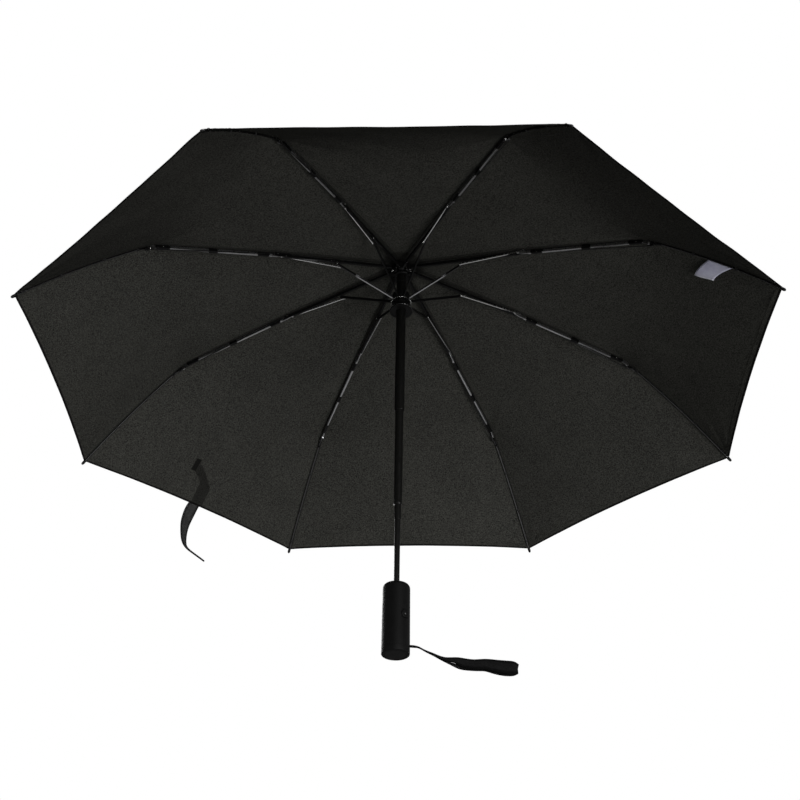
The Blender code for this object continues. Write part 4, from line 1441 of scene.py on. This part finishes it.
# Each strand: x, y, z, width, twist in degrees.
WRIST_LOWER = np.array([
    (-3.4, 0.0, 0.0, 2.4, 90), (0, 0, 0, 3.6, 88), (3.4, 0, -0.7, 3.4, 84),
    (7.6, 0.1, -0.6, 2.2, 80), (15.3, 0.4, -5.8, 2.2, 60), (27, 0.7, -11.4, 2.7, 34),
    (31, 0.8, -13.8, 2.9, 24), (38.7, 1.3, -18.0, 2.9, 18), (47, 1.8, -21.6, 3.7, 8),
    (55, 1.8, -25.0, 5.6, -2), (60, 1.4, -25.2, 8.0, -4), (72, 1.3, -24.4, 11.8, -2),
    (86, 1.3, -24.1, 13.0, 3), (98, 1.4, -26.9, 15.2, 0), (108, 1.4, -28.3, 16.6, 0),
    (118, 1.2, -28.7, 16.4, 0), (121.6, 0.6, -28.4, 14.6, 0), (122.9, 0.0, -28.3, 11.5, 0),
])
WRIST_UPPER = np.array([
    (-3.4, 0.0, 0.2, 2.4, 90), (0, 0, 0.1, 3.6, 86), (3.4, 0, -0.6, 3.4, 82),
    (7.6, -0.1, -0.4, 2.2, 80), (15.3, -0.3, -5.4, 2.2, 60), (27, -0.6, -10.6, 2.7, 30),
    (31, -0.8, -13.1, 3.0, 16), (38.7, -1.4, -16.5, 3.6, -8), (47, -1.9, -17.7, 5.8, -12),
    (55, -1.9, -18.8, 8.4, -6), (60, -1.5, -21.2, 11.4, 4), (72, -1.3, -23.0, 12.0, 6),
    (86, -1.2, -22.6, 12.8, 0), (98, -1.2, -24.7, 14.8, 3), (108, -1.2, -26.4, 16.0, 0),
    (118, -1.0, -27.1, 16.4, 0), (121.6, -0.6, -27.9, 14.6, 0), (122.9, 0.0, -28.3, 11.5, 0),
])


def wrist_strap():
    """Two strands that leave the handle thin, part, twist and lie together to the far end."""
    mesh = bpy.data.meshes.new("wrist_webbing")
    bm = bmesh.new()
    strands = [
        band("strand", WRIST_START + table[:, :3], table[:, 3], WRIST_THICK, LOOK["web"],
             twist=table[:, 4])
        for table in (WRIST_LOWER, WRIST_UPPER)
    ]
    for strand in strands:
        bm.from_mesh(strand.data)
    bm.to_mesh(mesh)
    bm.free()
    mesh.materials.append(LOOK["web"])
    for strand in strands:
        bpy.data.objects.remove(strand, do_unlink=True)
    ob = sharpen(link_mesh("wrist_webbing", mesh), 60)
    attach(ob, "wrist_strap", replaces="wrist_strap")


wrist_strap()

# Tie tape: outward, sideways, z, width, thickness in mm, then its width direction
# as outward, sideways, z.
TIE_TAPE = np.array([
    (420.9, 25.8, 431.9, 15.0, 1.0, 0.57, 0.63, -0.52),
    (430.0, 10.9, 423.6, 17.0, 1.0, 0.51, 0.72, -0.47),
    (437.5, 0.8, 416.7, 17.5, 1.0, 0.24, 0.95, -0.22),
    (447.9, -4.0, 407.1, 17.5, 1.0, -0.05, 1.0, 0.05),
    (459.8, -2.8, 396.2, 18.0, 1.0, -0.04, 1.0, 0.0),
    (463.6, 0.6, 386.5, 18.6, 1.0, 0.1, 0.98, 0.0),
    (463.0, 5.0, 374.4, 18.0, 1.0, 0.15, 0.95, -0.08),
    (462.2, 10.4, 355.0, 16.0, 1.0, 0.0, 0.92, -0.25),
    (462.0, 11.0, 339.3, 15.0, 1.1, -0.24, 0.89, -0.38),
    (462.0, 9.5, 326.1, 13.5, 1.2, -0.32, 0.86, -0.40),
    (462.0, 6.9, 319.3, 13.0, 1.4, -0.47, 0.76, -0.445),
    (462.0, 1.4, 315.1, 13.0, 1.8, -0.62, 0.63, -0.47),
    (462.0, -5.0, 313.4, 13.0, 2.4, -0.73, 0.50, -0.50),
    (462.0, -15.6, 310.5, 13.0, 2.6, -0.76, 0.46, -0.50),
    (462.0, -29.4, 306.6, 12.0, 2.4, -0.76, 0.46, -0.50),
])


def tie_strap():
    """Tape at the middle of one gore: sewn end, twist over the hem and a loose hanging end."""
    angle = math.radians(135.0)
    out = outward(angle)
    axes = np.array([out, sideways(angle), UP])
    ob = band(
        "tie_tape_band", TIE_TAPE[:, :3] @ axes, TIE_TAPE[:, 3], TIE_TAPE[:, 4], LOOK["tape"],
        wides=TIE_TAPE[:, 5:] @ axes,
    )
    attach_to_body(ob, "tie_strap")
    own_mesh(ob)
    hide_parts("tie_strap")


tie_strap()


def care_label():
    """Blank satin label under the cloth beside rib 8, in the gore towards rib 1."""
    gore, steps_along, steps_across = 7, 10, 8
    # distances along the cloth and across it from the rib, in metres
    near_start, near_length = 0.447, 0.036
    far_start, far_length = 0.4375, 0.0285
    sewn_edge, width, bulge = 0.0012, 0.0325, 0.0035
    verts, attributes = [], {"across": [], "along": []}
    for i in range(steps_along + 1):
        for j in range(steps_across + 1):
            u, v = i / steps_along, j / steps_across
            along = (near_start + near_length * u) * (1 - v) + (far_start + far_length * u) * v
            along -= bulge * math.sin(math.pi * v) * (0.6 + 0.6 * u)
            across = sewn_edge + width * v
            place = float(np.interp(along, ROWS, np.arange(ROW_COUNT)))
            row = int(place)
            part = place - row
            share = across / ROW_WIDTH[row]
            upper, normal = cloth_at(gore, row, share)
            lower, _ = cloth_at(gore, row + 1, share)
            droop = 0.0012 + 0.0055 * math.sin(math.pi * 0.8 * v)
            droop += 0.0010 * math.sin(u * 3.6 + 0.6) * v
            verts.append(upper * (1 - part) + lower * part - normal * droop)
            attributes["across"].append(across)
            attributes["along"].append(along)
    faces = sheet_faces(steps_along + 1, steps_across + 1)
    ob = new_object("blank_label", verts, faces, LOOK["label"], attributes)
    ob.modifiers.new("thick", "SOLIDIFY").thickness = 0.0003
    attach(ob, "outer_rib_8")


care_label()


# ------------------------------------------------------------------ stage, light, camera
FLOOR_HALF, FLOOR_HEIGHT = 40.0, -1.25

# Area lights: name, place, target, size, watts.
AREA_LIGHTS = (
    ("key", (1.44, -2.75, -0.13), (0.0, 0.0, 0.42), (1.7, 1.7), 116),
    ("under", (1.25, -1.2, -0.85), (0.0, 0.0, 0.42), (0.6, 0.6), 22),
    ("fill_left", (-2.4, -1.6, 0.25), (0.0, 0.0, 0.4), (0.8, 1.8), 6),
    ("over", (0.5, -0.6, 3.0), (0.0, 0.0, 0.4), (2.2, 2.2), 105),
    ("rim", (-1.2, 2.5, 1.5), (0.0, 0.0, 0.4), (2.0, 2.0), 85),
)


def floor():
    """Matt floor that glows to the camera: pale near the object, white far off."""
    corners = [(x * FLOOR_HALF, y * FLOOR_HALF, FLOOR_HEIGHT)
               for x, y in ((-1, -1), (1, -1), (1, 1), (-1, 1))]
    mesh = bpy.data.meshes.new("floor")
    mesh.from_pydata(corners, [], [(0, 1, 2, 3)])
    ob = link_mesh("floor", mesh)
    net = new_shader("floor")
    net.set("Base Color", (0.42, 0.42, 0.42, 1))
    net.set("Roughness", 0.9)
    net.set("Emission Color", (1, 1, 1, 1))
    distance = net.add("ShaderNodeVectorMath", operation="LENGTH")
    net.put(distance.inputs[0], net.position())
    fade = net.remap(distance.outputs["Value"], (1.6, 6.0), to=(0.80, 1.0))
    seen = net.add("ShaderNodeLightPath").outputs["Is Camera Ray"]
    net.set("Emission Strength", net.times(seen, fade))
    mesh.materials.append(net.owner)


def world():
    """White to the camera, dim as a light, brighter in reflections."""
    studio = bpy.data.worlds.new("studio")
    bpy.context.scene.world = studio
    net = Shader(studio, "Background")
    net.set("Color", (1, 1, 1, 1))
    path = net.add("ShaderNodeLightPath")
    dim, reflected = 0.038, 0.45
    seen = net.remap(path.outputs["Is Camera Ray"], (0, 1), to=(dim, 1.0))
    shine = net.math("MULTIPLY_ADD", path.outputs["Is Glossy Ray"], reflected, seen)
    net.set("Strength", shine)


def aim(light, place, target):
    """Put a light in the scene, pointing at the target."""
    ob = bpy.data.objects.new(light.name, light)
    ob.location = place
    ob.rotation_mode = "QUATERNION"
    ob.rotation_quaternion = (Vector(target) - Vector(place)).to_track_quat("-Z", "Y")
    bpy.context.scene.collection.objects.link(ob)


def lights():
    for name, place, target, size, watts in AREA_LIGHTS:
        light = bpy.data.lights.new(name, "AREA")
        light.shape = "RECTANGLE"
        light.size, light.size_y = size
        light.energy = watts
        aim(light, place, target)
    spot = bpy.data.lights.new("low_back", "SPOT")
    spot.energy = 90
    spot.spot_size = math.radians(15)
    spot.spot_blend = 0.9
    spot.shadow_soft_size = 0.5
    # the aim is taken from the stored place
    aim(spot, (-1.8, 2.0, 0.05), (0, 0, 0.03))


def camera():
    """Camera low on the -Y side, looking up under the canopy."""
    place = (0.0600, -1.4824, -0.6540)
    pitch, yaw, roll = math.radians(34.3366), math.radians(2.2939), math.radians(0.9144)
    ahead = Vector((
        -math.sin(yaw) * math.cos(pitch), math.cos(yaw) * math.cos(pitch), math.sin(pitch)
    ))
    level = Vector((math.cos(yaw), math.sin(yaw), 0))
    upright = level.cross(ahead)
    right = level * math.cos(roll) + upright * math.sin(roll)
    up = -level * math.sin(roll) + upright * math.cos(roll)
    ob = bpy.data.objects.new("camera", bpy.data.cameras.new("camera"))
    bpy.context.scene.collection.objects.link(ob)
    rows = [(right[i], up[i], -ahead[i], place[i]) for i in range(3)]
    ob.matrix_world = Matrix((*rows, (0, 0, 0, 1)))
    ob.data.sensor_width = 36.0
    ob.data.lens = 61.6869
    ob.data.clip_start, ob.data.clip_end = 0.02, 100
    bpy.context.scene.camera = ob
    bpy.context.scene.view_settings.view_transform = "Standard"
    bpy.context.scene.view_settings.look = "None"


floor()
world()
lights()
camera()
